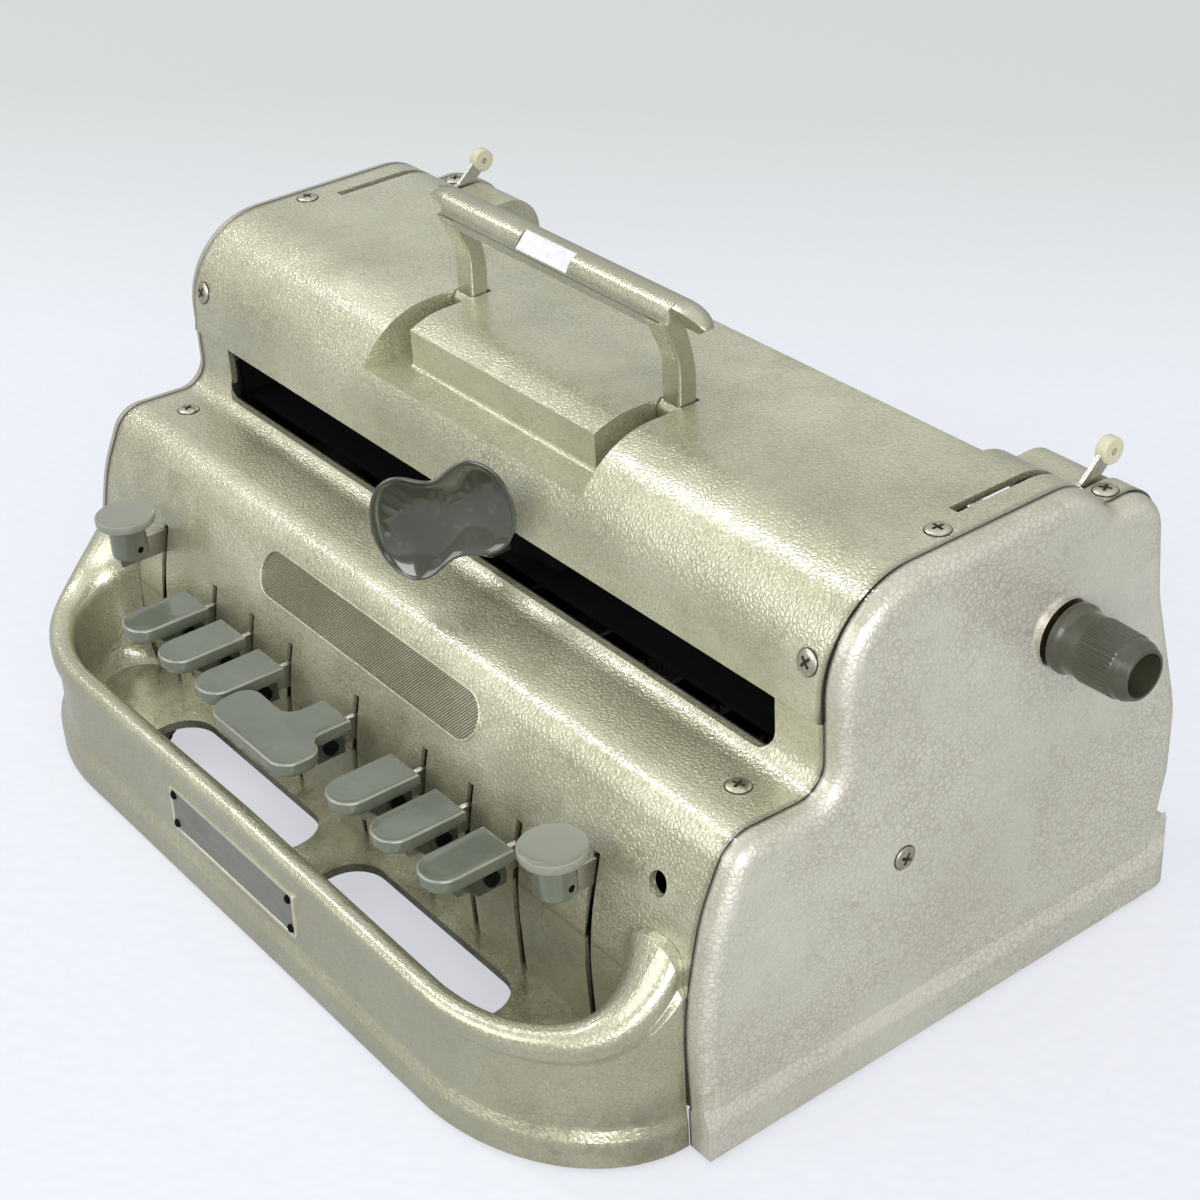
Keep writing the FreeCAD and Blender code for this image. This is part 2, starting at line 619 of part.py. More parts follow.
def rubber_feet():
    feet = []
    for x, y in FOOT_SPOTS:
        foot = rod(Vector(x, y, 0), Z_AXIS, FOOT_R, FOOT_TOP)
        foot = foot.makeFillet(1.0, [edge for edge in foot.Edges if edge.BoundBox.ZMax < 0.01])
        feet += both_sides(foot)
    return feet


PLATE_X = (-40.5, 33.0)
PLATE_Z = (14.9, 31.6)


def nameplate():
    """Bare plate with four rivets, on the straight face of the tray wall."""
    low = (2.4, 14.0)
    high = (3.0, RIM_Z - 9)
    lean = (high[0] - low[0]) / (high[1] - low[1])

    def face_y(z):
        return TRAY_FRONT_Y + low[0] + (z - low[1]) * lean

    y_low = face_y(PLATE_Z[0] + 2)
    tilt = math.degrees(math.atan(lean))
    corners = [(PLATE_X[0], PLATE_Z[0] + 2, 2), (PLATE_X[1], PLATE_Z[0] + 2, 2),
               (PLATE_X[1], PLATE_Z[1] + 2, 2), (PLATE_X[0], PLATE_Z[1] + 2, 2)]
    plate = slab_y(corners, y_low - 0.6, y_low)
    parts = [plate]
    for x in (PLATE_X[0] + 3, PLATE_X[1] - 3):
        for z in (PLATE_Z[0] + 5, PLATE_Z[1] - 1):
            head = Part.makeSphere(1.5, Vector(x, y_low - 0.3, z))
            parts.append(head.common(box(x - 2, x + 2, y_low - 3, y_low - 0.6, z - 2, z + 2)))
    hinge = Vector(0, y_low, PLATE_Z[0] + 2)
    return [turned(part, hinge, X_AXIS, -tilt) for part in parts]


# ----------------------------------------------------------------------------- keys
DOT_LEVER_TOP = 60.0
ROUND_LEVER_TOP = 73.2
LEVER_FRONT_H = 8.0
CAP_BACK_Y = -73.5
CAP_FRONT_Y = -100.0
CAP_W = 15.0
CAP_T = 5.4


def lever_plate(x, tip_y, top_z, tail):
    """Flat lever from the key cap back to its hub on the key shaft."""
    low_z = top_z - LEVER_FRONT_H
    hub = KEY_SHAFT_R + 4.5
    corners = [
        (tip_y, low_z, 1.0), (tip_y, top_z, 1.0), (-50.0, top_z, 20), (KEY_SHAFT_Y - 20, KEY_SHAFT_Z + hub, 20),
        (KEY_SHAFT_Y + tail, KEY_SHAFT_Z + hub, hub - 0.5), (KEY_SHAFT_Y + tail, KEY_SHAFT_Z - hub, hub - 0.5),
        (KEY_SHAFT_Y - 22, KEY_SHAFT_Z - hub, 20), (-46.0, low_z, 20)]
    plate = slab_x(corners, x - LEVER_T / 2, x + LEVER_T / 2)
    hole = rod_x(x - 5, x + 5, KEY_SHAFT_Y, KEY_SHAFT_Z, KEY_SHAFT_R + FIT)
    return plate.cut(hole)


CAP_SCREW_R = 1.2


def cap_screw(x, y, z):
    """Cheese-head screw across the web of a key cap."""
    head = rod_x(x + 2.6, x + 3.8, y, z, 2.4)
    head = head.cut(box(x + 3.3, x + 4, y - 3, y + 3, z - 0.3, z + 0.3))
    return head.fuse(rod_x(x - 2.6, x + 2.6, y, z, CAP_SCREW_R)).removeSplitter()


def key_web(x):
    """Tapered web under a cap, which clasps the lever."""
    top = KEY_TOP_Z - CAP_T
    corners = [(CAP_BACK_Y, top, 0), (CAP_BACK_Y, top - 9.5, 1), (CAP_BACK_Y - 10, top - 9.5, 2),
               (CAP_BACK_Y - 19, top, 0)]
    return slab_x(corners, x - 2.6, x + 2.6)


def finish_cap(cap, x, lever, screw_y, screw_z):
    screw = cap_screw(x, screw_y, screw_z)
    cap = cap.cut(lever).cut(rod_x(x - 4, x + 2.6, screw_y, screw_z, CAP_SCREW_R))
    return [cap, screw]


def lever_hole(lever, x, y, z):
    return lever.cut(rod_x(x - 4, x + 4, y, z, CAP_SCREW_R))


CAP_SCREW_Y = CAP_BACK_Y - 5.5
CAP_SCREW_Z = KEY_TOP_Z - CAP_T - 4.8


def dot_key(x):
    """Cap with its screw, and lever, of one dot key."""
    lever = lever_plate(x, CAP_FRONT_Y + 10, DOT_LEVER_TOP, 10)
    r = CAP_W / 2 - 0.1
    corners = [(x - CAP_W / 2, CAP_BACK_Y, 0.6), (x + CAP_W / 2, CAP_BACK_Y, 0.6),
               (x + CAP_W / 2, CAP_FRONT_Y, r), (x - CAP_W / 2, CAP_FRONT_Y, r)]
    cap = slab_z(corners, KEY_TOP_Z - CAP_T, KEY_TOP_Z)
    cap = cap.makeFillet(1.1, [edge for edge in cap.Edges if edge.BoundBox.ZMin > KEY_TOP_Z - 0.01])
    cap = cap.fuse(key_web(x)).removeSplitter()
    cap = finish_cap(cap, x, lever, CAP_SCREW_Y, CAP_SCREW_Z)
    return cap, lever_hole(lever, x, CAP_SCREW_Y, CAP_SCREW_Z)


def space_key():
    x = SPACE_KEY_X
    lever = lever_plate(x, CAP_FRONT_Y + 10, DOT_LEVER_TOP, 10)
    half = CAP_W / 2
    corners = [
        (x + half, CAP_BACK_Y, 0.6), (x + half, CAP_BACK_Y - 14, 3.2), (x + half + 8.5, CAP_BACK_Y - 15, 5.2),
        (x + half + 8.5, CAP_FRONT_Y - 3.5, 7.5), (x - 28, CAP_FRONT_Y - 3.5, 8), (x - 29, CAP_BACK_Y - 12.5, 7),
        (x - half - 0.5, CAP_BACK_Y - 13, 5), (x - half, CAP_BACK_Y, 0.6)]
    cap = slab_z(corners, KEY_TOP_Z - CAP_T, KEY_TOP_Z)
    cap = cap.makeFillet(1.1, [edge for edge in cap.Edges if edge.BoundBox.ZMin > KEY_TOP_Z - 0.01])
    cap = cap.fuse(key_web(x)).removeSplitter()
    cap = finish_cap(cap, x, lever, CAP_SCREW_Y, CAP_SCREW_Z)
    return cap, lever_hole(lever, x, CAP_SCREW_Y, CAP_SCREW_Z)


ROUND_Y = -78.7
ROUND_R = 9.1
STEM_R = 6.7
STEM_H = 12.0
DISC_T = 3.4


def round_key(x):
    """Mushroom cap and lever of the line key or the backspace key."""
    lever = lever_plate(x, ROUND_Y - 4.5, ROUND_LEVER_TOP, 10)
    disc = rod(Vector(x, ROUND_Y, ROUND_KEY_TOP_Z - DISC_T), Z_AXIS, ROUND_R, DISC_T)
    disc = disc.makeFillet(1.2, [edge for edge in disc.Edges if edge.BoundBox.ZLength < 0.01])
    stem = rod(Vector(x, ROUND_Y, ROUND_KEY_TOP_Z - DISC_T - STEM_H), Z_AXIS, STEM_R, STEM_H + 1)
    cap = disc.fuse(stem).removeSplitter().cut(lever)
    screw_z = ROUND_KEY_TOP_Z - DISC_T - STEM_H + 3.4
    pin = rod_x(x - STEM_R + 1.5, x + STEM_R - 1.5, ROUND_Y + 1.0, screw_z, CAP_SCREW_R)
    cap = cap.cut(rod_x(x - STEM_R + 1.5, x + STEM_R + 1, ROUND_Y + 1.0, screw_z, CAP_SCREW_R))
    return [cap, pin], lever_hole(lever, x, ROUND_Y + 1.0, screw_z)


def line_feed_pawl():
    """Bar on the line key's lever that reaches the ratchet at the end of the roller."""
    x0 = -ROUND_KEY_X - LEVER_T / 2
    y = KEY_SHAFT_Y + 6.0
    z = KEY_SHAFT_Z + KEY_SHAFT_R + 4.5
    foot = box(x0 - 2, x0, y - 6, y + 3, z - 8, z)
    arm = box(x0 - 2, x0, y, y + 3, z - 4, PAWL_Z)
    arm = arm.fuse(box(RATCHET_X0, x0, y, y + 3, PAWL_Z - 3, PAWL_Z))
    tooth = slab_x([(y, PAWL_Z - 3, 0), (y + 8, PAWL_Z - 3, 1), (y + 8, PAWL_Z + 2.4, 0.3), (y, PAWL_Z, 1)],
                   RATCHET_X0, RATCHET_X0 + 2.2)
    pawl = joined([foot, arm, tooth])
    return pawl.cut(rod_x(x0 - 3, x0 + 1, KEY_SHAFT_Y, KEY_SHAFT_Z, KEY_SHAFT_R + FIT))


RATCHET_R = 12.4
RATCHET_TEETH = 24
RATCHET_X0 = -FRAME_IN_X + 0.5
PAWL_Z = ROLLER_Z - RATCHET_R - 5.2
ROLLER_PLAY = 4.5         # between the end of the roller and a frame plate
ROLLER_HALF_X = FRAME_IN_X - ROLLER_PLAY


def key_springs():
    """One wire spring beside each lever hub, coiled round the key shaft."""
    coils = []
    for x in DOT_KEY_XS + (SPACE_KEY_X, -ROUND_KEY_X, ROUND_KEY_X):
        start = x + LEVER_T / 2 + 0.3
        ring = rod_x(start, start + 6, KEY_SHAFT_Y, KEY_SHAFT_Z, KEY_SHAFT_R + 1.3)
        ring = ring.cut(rod_x(start - 1, start + 7, KEY_SHAFT_Y, KEY_SHAFT_Z, KEY_SHAFT_R + 0.2))
        leg = rod(Vector(start + 3, KEY_SHAFT_Y - 0.5, DECK_Z), Z_AXIS, 0.6, KEY_SHAFT_Z - KEY_SHAFT_R - DECK_Z - 0.3)
        coils.append(ring.fuse(leg).removeSplitter())
    return coils


# ------------------------------------------------------------------- inner structure
BUSH_SLEEVE_R = 6.0


def frame_plate():
    """Right frame plate, with lightening holes and the bores for what it carries."""
    front_y = PANEL_Y + 17.0
    back_y = BACK_Y - 3.9
    step_y = EAR_Y + 5.8
    top_z = TOP_Z - 12.8
    corners = [
        (front_y, DECK_Z, 0), (front_y, SHELF_Z - 11.8, 8), (step_y, SHELF_Z - 7.8, 6), (step_y, top_z - 10, 10),
        (step_y + 21, top_z, 10), (ROLLER_Y - 30.5, top_z, 8), (ROLLER_Y + 11.5, top_z - 4, 14),
        (back_y - 14, ROLLER_Z + 6.1, 14), (back_y, MARGIN_RAIL_Z + 8, 6), (back_y, DECK_Z, 0)]
    plate = slab_x(corners, FRAME_IN_X, FRAME_X)
    for y, z, r in ((-30.0, 45.0, 16), (12.0, 50.0, 18), (75.0, 45.0, 18)):
        plate = plate.cut(rod_x(FRAME_IN_X - 1, FRAME_X + 1, y, z, r))
    plate = plate.cut(rod_x(FRAME_IN_X - 1, FRAME_X + 1, ROLLER_Y, ROLLER_Z, BUSH_SLEEVE_R))
    plate = plate.cut(rod_x(FRAME_IN_X - 1, FRAME_X + 1, PRESS_Y, PRESS_Z, PRESS_SHAFT_R + FIT))
    boss = rod_x(FRAME_X, SIDE_X - SIDE_WALL, SIDE_SCREW.y, SIDE_SCREW.z, 5.0)
    boss = boss.cut(screw_hole(SIDE_SCREW, X_AXIS, SIDE_SCREW_L))
    return joined([plate, boss])


PRESS_ANGLE = 45.0
PRESS_CENTRES = ROLLER_R + PRESS_R + 0.3
PRESS_Y = ROLLER_Y + PRESS_CENTRES * math.cos(math.radians(PRESS_ANGLE))
PRESS_Z = ROLLER_Z + PRESS_CENTRES * math.sin(math.radians(PRESS_ANGLE))


def across(y, z, radius, inset_x=0.0):
    """Round bar between the two frame plates."""
    return rod_x(-FRAME_IN_X + inset_x, FRAME_IN_X - inset_x, y, z, radius)


TIE_BARS = [(-44.0, 77.6), (94.0, 30.0), (10.0, 24.0)]
TIE_R = 4.0
REST_BAR_Y = -30.0


REST_BAR_TOP = 40.2
REST_BAR_T = 2.0


def key_rest_bar():
    """Channel across the machine that stops the key levers at the end of their stroke."""
    back = REST_BAR_Y + 5
    corners = [(back, DECK_Z, 0), (REST_BAR_Y - 5, DECK_Z, 1), (REST_BAR_Y - 5, REST_BAR_TOP, 1),
               (back, REST_BAR_TOP, 0), (back, REST_BAR_TOP - REST_BAR_T, 0),
               (REST_BAR_Y - 5 + REST_BAR_T, REST_BAR_TOP - REST_BAR_T, 0),
               (REST_BAR_Y - 5 + REST_BAR_T, DECK_Z + REST_BAR_T, 0), (back, DECK_Z + REST_BAR_T, 0)]
    return slab_x(corners, -FRAME_IN_X, FRAME_IN_X)


RACK_END = 10.0           # plain ends of the rack
RACK_PITCH = 6.1


def carriage_rack():
    """Toothed escapement rack behind the carriage."""
    y0 = RAIL_Y[1] + 10
    rack = box(-FRAME_IN_X, FRAME_IN_X, y0, y0 + 3, RAIL_Z - 5, RAIL_Z + 2)
    teeth = []
    for i in range(int(2 * (FRAME_IN_X - RACK_END) / RACK_PITCH)):
        x = -FRAME_IN_X + RACK_END + i * RACK_PITCH
        teeth.append(slab_y([(x, RAIL_Z + 2.5, 0), (x + RACK_PITCH * 0.7, RAIL_Z + 2.5, 0), (x, RAIL_Z - 0.5, 0)],
                            y0 - 1, y0 + 4))
    return rack.cut(Part.makeCompound(teeth))


def carriage():
    """Embossing head: a frame that slides on two round rails."""
    x0 = CARRIAGE_X - CARRIAGE_W / 2
    x1 = CARRIAGE_X + CARRIAGE_W / 2
    corners = [(RAIL_Y[0] - 7, RAIL_Z - 6.5, 3), (RAIL_Y[0] - 7, RAIL_Z + 7, 3), (2.0, RAIL_Z + 16, 5),
               (16.0, RAIL_Z + 16, 5), (RAIL_Y[1] + 7, RAIL_Z + 7, 3), (RAIL_Y[1] + 7, RAIL_Z - 6.5, 3)]
    block = slab_x(corners, x0, x1)
    for y in RAIL_Y:
        block = block.cut(rod_x(x0 - 1, x1 + 1, y, RAIL_Z, RAIL_R + FIT))
    block = block.cut(box(x0 + 5, x1 - 5, 3.0, 15.0, RAIL_Z - 8, RAIL_Z + 9))
    for hole in pin_places():
        block = block.cut(rod(hole, Z_AXIS, 0.8, 10))
    front_y = RAIL_Y[0] - 7
    pivot_y, pivot_z = LEVER_PIVOT
    ear = [(front_y + 1, pivot_z - 4, 0), (pivot_y - 3.2, pivot_z - 4, 3), (pivot_y - 3.2, pivot_z + 4, 3),
           (front_y + 1, pivot_z + 4, 0)]
    inner = LEVER_ARM_W / 2 + 0.2
    for x in (CARRIAGE_X - inner - EAR_T, CARRIAGE_X + inner):
        block = block.fuse(slab_x(ear, x, x + EAR_T))
    pin = rod_x(CARRIAGE_X - inner - 1, CARRIAGE_X + inner + 1, pivot_y, pivot_z, LEVER_PIN_R)
    return block.fuse(pin).removeSplitter()


LEVER_ARM_W = 6.0
EAR_T = 3.0
LEVER_PIN_R = 1.6
LEVER_EYE_R = 3.2
LEVER_PIVOT = (RAIL_Y[0] - 10.6, RAIL_Z + 2.5)


def pin_places():
    """Six embossing pins, two across and three along, at braille dot pitch."""
    places = []
    for column in (-1.25, 1.25):
        for row in (-2.5, 0.0, 2.5):
            places.append(Vector(CARRIAGE_X + column, 9.0 + row, RAIL_Z + 9 - 1))
    return places


def embossing_pins():
    pins = []
    for place in pin_places():
        pin = rod(place - Z_AXIS * 8, Z_AXIS, 0.8, 14)
        pins.append(pin)
    return pins


LEVER_YAW = -45.0
LEVER_CENTRE = Vector(18.6, -40.4, 128.1)
LEVER_PITCH = 10.0
CUP_T = 8.0
CUP_WALL = 1.8


CUP_OUTLINE = [
    (-20.0, 12.8, 11.8), (-4.7, 13.0, 3.8), (0.5, 9.4, 4.7), (5.6, 15.0, 4.7), (20.1, 15.0, 11.3),
    (20.1, -12.6, 10.8), (3.0, -11.8, 5.6), (-2.8, -17.5, 4.7), (-20.0, -17.5, 12.2)]
CUP_FLOOR = 2.2


def in_cup_place(shape):
    """Moves a shape from the finger piece's own upright plane to its place."""
    shape = turned(shape, Vector(0, 0, 0), Y_AXIS, -LEVER_PITCH)
    shape = turned(shape, Vector(0, 0, 0), Z_AXIS, -LEVER_YAW)
    shape.translate(LEVER_CENTRE)
    return shape


def carriage_lever():
    """Finger piece, hollowed like two cups, on its arm from the carriage."""
    body = slab_y(CUP_OUTLINE, -CUP_T / 2, CUP_T / 2)
    mouth = Part.Face(outline(CUP_OUTLINE, plane_xz(-CUP_T / 2 - 1))).makeOffset2D(-CUP_WALL)
    hollow = mouth.extrude(Vector(0, CUP_T + 1 - CUP_FLOOR, 0))
    floor = [edge for edge in hollow.Edges if edge.BoundBox.YMin > CUP_T / 2 - CUP_FLOOR - 0.1]
    body = in_cup_place(body.cut(hollow.makeFillet(3.0, floor)))
    pivot_y, pivot_z = LEVER_PIVOT
    x0 = CARRIAGE_X - LEVER_ARM_W / 2
    x1 = CARRIAGE_X + LEVER_ARM_W / 2
    arm = [(pivot_y, pivot_z - 3.0, 0), (pivot_y, pivot_z + 3.0, 0), (EAR_Y - 4, pivot_z + 3.0, 3),
           (EAR_Y - 9, LEVER_CENTRE.z - 2, 3), (EAR_Y - 20, LEVER_CENTRE.z - 2, 0),
           (EAR_Y - 20, pivot_z + 4, 0), (EAR_Y - 8, pivot_z - 3.0, 5)]
    arm = slab_x(arm, x0, x1).fuse(rod_x(x0, x1, pivot_y, pivot_z, LEVER_EYE_R))
    behind = in_cup_place(box(-60, 60, CUP_T / 2 - CUP_FLOOR + 0.5, 90, -60, 60))
    lever = joined([body, arm.common(behind)])
    return lever.cut(rod_x(x0 - 1, x1 + 1, pivot_y, pivot_z, LEVER_PIN_R + FIT))


TABLE_AHEAD = 10.0        # paper table in front of the front rail
TABLE_BEHIND = 16.0       # start of its bend behind the rear rail
TABLE_DROP = 10.0         # its underside below the rails


def paper_table():
    """Flat steel table under the carriage, which the paper passes over."""
    front_y, bend_y = RAIL_Y[0] - TABLE_AHEAD, RAIL_Y[1] + TABLE_BEHIND
    low_z = RAIL_Z - TABLE_DROP
    corners = [(front_y, low_z, 0), (front_y, low_z + 1.5, 0), (bend_y, low_z + 1.5, 20),
               (bend_y + 8, low_z + 5.5, 0), (bend_y + 8.8, low_z + 4.2, 0), (bend_y + 0.5, low_z, 20)]
    return slab_x(corners, -FRAME_IN_X, FRAME_IN_X)


# -------------------------------------------------------------------- paper transport
def roller_ratchet():
    wheel = rod_x(RATCHET_X0, RATCHET_X0 + 2.2, ROLLER_Y, ROLLER_Z, RATCHET_R)
    notch = slab_x([(ROLLER_Y, ROLLER_Z - RATCHET_R + 1.8, 0), (ROLLER_Y + 3.0, ROLLER_Z - RATCHET_R - 1, 0),
                    (ROLLER_Y, ROLLER_Z - RATCHET_R - 1, 0)], RATCHET_X0 - 1, RATCHET_X0 + 4)
    notches = []
    for i in range(RATCHET_TEETH):
        notches.append(turned(notch, Vector(0, ROLLER_Y, ROLLER_Z), X_AXIS, 360.0 / RATCHET_TEETH * i))
    wheel = wheel.cut(Part.makeCompound(notches))
    return wheel.cut(rod_x(RATCHET_X0 - 1, RATCHET_X0 + 4, ROLLER_Y, ROLLER_Z, ROLLER_SHAFT_R))


def paper_roller():
    x0 = RATCHET_X0 + 2.2
    tube = rod_x(x0, ROLLER_HALF_X, ROLLER_Y, ROLLER_Z, ROLLER_R)
    return tube.cut(rod_x(x0 - 1, ROLLER_HALF_X + 1, ROLLER_Y, ROLLER_Z, ROLLER_SHAFT_R))


KNOB_SOCKET = 8.0
COLLAR_R = 10.7


def roller_shaft():
    end = KNOB_END_X - KNOB_L + KNOB_SOCKET
    return rod_x(-end, end, ROLLER_Y, ROLLER_Z, ROLLER_SHAFT_R)


def knob():
    """Right knob: flanged, with a plain neck, a ribbed barrel and an open socket in its end."""
    x0 = KNOB_END_X - KNOB_L
    ribs = (x0 + 9.6, x0 + 20.6)
    profile = [
        (x0, 0, 0), (x0, KNOB_FLANGE_R, 1.0), (x0 + 2.4, KNOB_FLANGE_R, 1.0), (x0 + 4.2, KNOB_NECK_R, 2.0),
        (ribs[0] - 0.5, KNOB_NECK_R, 0), (ribs[0], KNOB_R, 0.2), (ribs[1], KNOB_R - 0.3, 0.2),
        (ribs[1] + 0.5, KNOB_NECK_R - 0.3, 0), (KNOB_END_X - 2.6, KNOB_NECK_R - 0.5, 1.2),
        (KNOB_END_X, KNOB_BORE_R + 0.9, 0.4), (KNOB_END_X, 0, 0)]
    wire = outline(profile, lambda x, r: Vector(x, ROLLER_Y, ROLLER_Z + r))
    body = Part.Face(wire).revolve(Vector(0, ROLLER_Y, ROLLER_Z), X_AXIS, 360)
    flutes = []
    for i in range(KNOB_FLUTES):
        angle = 2 * math.pi * i / KNOB_FLUTES
        out = Vector(0, math.cos(angle), math.sin(angle))
        start = Vector(ribs[0] - 1, ROLLER_Y, ROLLER_Z) + out * (KNOB_R + 0.1)
        end = Vector(ribs[1] + 1, ROLLER_Y, ROLLER_Z) + out * (KNOB_R - 0.2)
        flutes.append(Part.makeCylinder(0.5, (end - start).Length, start, end - start))
    body = body.cut(Part.makeCompound(flutes))
    body = body.cut(rod_x(KNOB_END_X - 14, KNOB_END_X + 1, ROLLER_Y, ROLLER_Z, KNOB_BORE_R))
    return body.cut(rod_x(x0 - 1, x0 + KNOB_SOCKET, ROLLER_Y, ROLLER_Z, ROLLER_SHAFT_R))


def knob_bush():
    """Flanged bush of the right side: collar outside the cover, sleeve to the frame."""
    collar = rod_x(SIDE_X, SIDE_X + COLLAR_T, ROLLER_Y, ROLLER_Z, COLLAR_R)
    sleeve = rod_x(FRAME_IN_X, SIDE_X, ROLLER_Y, ROLLER_Z, BUSH_SLEEVE_R)
    bush = collar.fuse(sleeve).removeSplitter()
    return bush.cut(rod_x(FRAME_IN_X - 1, SIDE_X + 5, ROLLER_Y, ROLLER_Z, ROLLER_SHAFT_R + FIT))


PRESS_ROLLER_XS = (-105.0, -35.0, 35.0, 105.0)
PRESS_ROLLER_L = 22.0


def pressure_rollers():
    rollers = []
    for x in PRESS_ROLLER_XS:
        tyre = rod_x(x - PRESS_ROLLER_L / 2, x + PRESS_ROLLER_L / 2, PRESS_Y, PRESS_Z, PRESS_R)
        rollers.append(tyre.cut(rod_x(x - 20, x + 20, PRESS_Y, PRESS_Z, PRESS_SHAFT_R)))
    return rollers


def release_lever():
    """Right paper release lever: an eye round the bush, and a strip up through the slot."""
    x0 = RELEASE_X - RELEASE_T / 2
    x1 = RELEASE_X + RELEASE_T / 2
    elbow = Vector(0, 84.5, 141.0)
    tip = Vector(0, RELEASE_TIP[0], RELEASE_TIP[1])
    eye = rod_x(x0, x1, ROLLER_Y, ROLLER_Z, BUSH_SLEEVE_R + 3.2)
    strips = []
    for start, end, width in ((Vector(0, ROLLER_Y, ROLLER_Z), elbow, 6.0), (elbow, tip, 5.0)):
        along = (end - start).normalize()
        side = Vector(0, -along.z, along.y) * (width / 2)
        points = [start + side, end + side, end - side, start - side]
        points = [Vector(x0, p.y, p.z) for p in points]
        strips.append(Part.Face(Part.makePolygon(points + [points[0]])).extrude(Vector(RELEASE_T, 0, 0)))
    knuckle = rod_x(x0, x1, elbow.y, elbow.z, 3.0)
    lever = joined([eye, knuckle] + strips)
    lever = lever.cut(rod_x(x0 - 1, x1 + 1, ROLLER_Y, ROLLER_Z, BUSH_SLEEVE_R + FIT))
    return lever.cut(rod_x(x0 - 1, x1 + 1, tip.y, tip.z, 1.1))


RELEASE_TIP = (95.1, 150.4)
RELEASE_TIP_R = 4.1


def release_tip():
    """Moulded tip: two round cheeks on the strip, held by a rivet."""
    y, z = RELEASE_TIP
    tip = rod_x(RELEASE_X - 1.9, RELEASE_X + 1.9, y, z, RELEASE_TIP_R)
    tip = tip.makeFillet(0.7, [edge for edge in tip.Edges if edge.BoundBox.XLength < 0.01])
    return tip.cut(rod_x(RELEASE_X - 3, RELEASE_X + 3, y, z, 1.1))


TAB_STANDOFF = 3.1        # squeeze tab of a margin stop off the back wall


def margin_stop(x):
    """Sliding margin stop with a squeeze tab that comes out of the back."""
    half = 6.0
    block = box(x - half, x + half, MARGIN_RAIL_Y - 6, MARGIN_RAIL_Y + 6, MARGIN_RAIL_Z - 5.5, MARGIN_RAIL_Z + 5.5)
    block = block.cut(rod_x(x - 9, x + 9, MARGIN_RAIL_Y, MARGIN_RAIL_Z, MARGIN_RAIL_R + FIT))
    wall_y = BACK_Y + (BACK_OUT_Y - BACK_Y) * (LIP_Z + 4 - MARGIN_RAIL_Z) / (LIP_Z + 4 - BACK_OUT_Z)
    tab_y = wall_y + TAB_STANDOFF
    neck = box(x - 4, x + 4, MARGIN_RAIL_Y + 6, tab_y, MARGIN_RAIL_Z - 2.5, MARGIN_RAIL_Z + 2.5)
    tab = slab_y([(x - 5, MARGIN_RAIL_Z - 5, 2), (x + 5, MARGIN_RAIL_Z - 5, 2), (x + 5, MARGIN_RAIL_Z + 5, 2),
                  (x - 5, MARGIN_RAIL_Z + 5, 2)], tab_y, tab_y + 3.4)
    return joined([block, neck, tab])


DRUM_X = -112.0
DRUM_Y = 82.0
DRUM_Z = 66.0
DRUM_R = 16.0


def mainspring_drum():
    """Spring drum that draws the carriage along, on its stud."""
    drum = rod(Vector(DRUM_X, DRUM_Y, DRUM_Z), Z_AXIS, DRUM_R, 10)
    groove_ring = rod(Vector(DRUM_X, DRUM_Y, DRUM_Z + 2), Z_AXIS, DRUM_R + 1, 6)
    groove_ring = groove_ring.cut(rod(Vector(DRUM_X, DRUM_Y, DRUM_Z + 1), Z_AXIS, DRUM_R - 1.6, 8))
    drum = drum.cut(groove_ring)
    return drum.cut(rod(Vector(DRUM_X, DRUM_Y, DRUM_Z - 1), Z_AXIS, 3 + FIT, 12))


BELL_X = 108.0
BELL_Y = 82.0
BELL_Z = 62.0
BELL_R = 15.0


def bell():
    dome = Part.makeSphere(BELL_R, Vector(BELL_X, BELL_Y, BELL_Z))
    hollow = Part.makeSphere(BELL_R - 1.4, Vector(BELL_X, BELL_Y, BELL_Z))
    dome = dome.cut(hollow).common(box(BELL_X - 20, BELL_X + 20, BELL_Y - 20, BELL_Y + 20, BELL_Z, BELL_Z + 20))
    return dome.cut(rod(Vector(BELL_X, BELL_Y, BELL_Z), Z_AXIS, 2.0, 20))


HAMMER_PIVOT = (BELL_X, BELL_Y - 32.0, 52.0)


def bell_hammer():
    x, y, z = HAMMER_PIVOT
    arm = box(x - 1.5, x + 1.5, y, BELL_Y - BELL_R - 2.5, z - 2, z + 2)
    head = Part.makeSphere(3.0, Vector(x, BELL_Y - BELL_R - 4.2, z + 10))
    arm = joined([arm, rod(Vector(x, BELL_Y - BELL_R - 4.2, z - 2), Z_AXIS, 1.2, 12), head,
                  rod_x(x - 2.5, x + 2.5, y, z, 4.0)])
    return arm.cut(rod_x(x - 5, x + 5, y, z, 1.5 + FIT))


def deck_posts():
    """Posts cast on the deck for the spring drum, the bell and the bell hammer."""
    drum_post = rod(Vector(DRUM_X, DRUM_Y, DECK_Z - 1), Z_AXIS, 5.0, DRUM_Z - 0.2 - DECK_Z + 1)
    drum_post = drum_post.fuse(rod(Vector(DRUM_X, DRUM_Y, DRUM_Z - 1), Z_AXIS, 3.0, 12))
    bell_post = rod(Vector(BELL_X, BELL_Y, DECK_Z - 1), Z_AXIS, 4.0, BELL_Z + 7 - DECK_Z)
    bell_post = bell_post.fuse(rod(Vector(BELL_X, BELL_Y, BELL_Z), Z_AXIS, 2.0, BELL_R + 1.5))
    x, y, z = HAMMER_PIVOT
    hammer_post = box(x + 3.0, x + 6.0, y - 5, y + 5, DECK_Z - 1, z + 5)
    hammer_post = hammer_post.fuse(rod_x(x - 3, x + 4, y, z, 1.5))
    return [drum_post, bell_post, hammer_post]


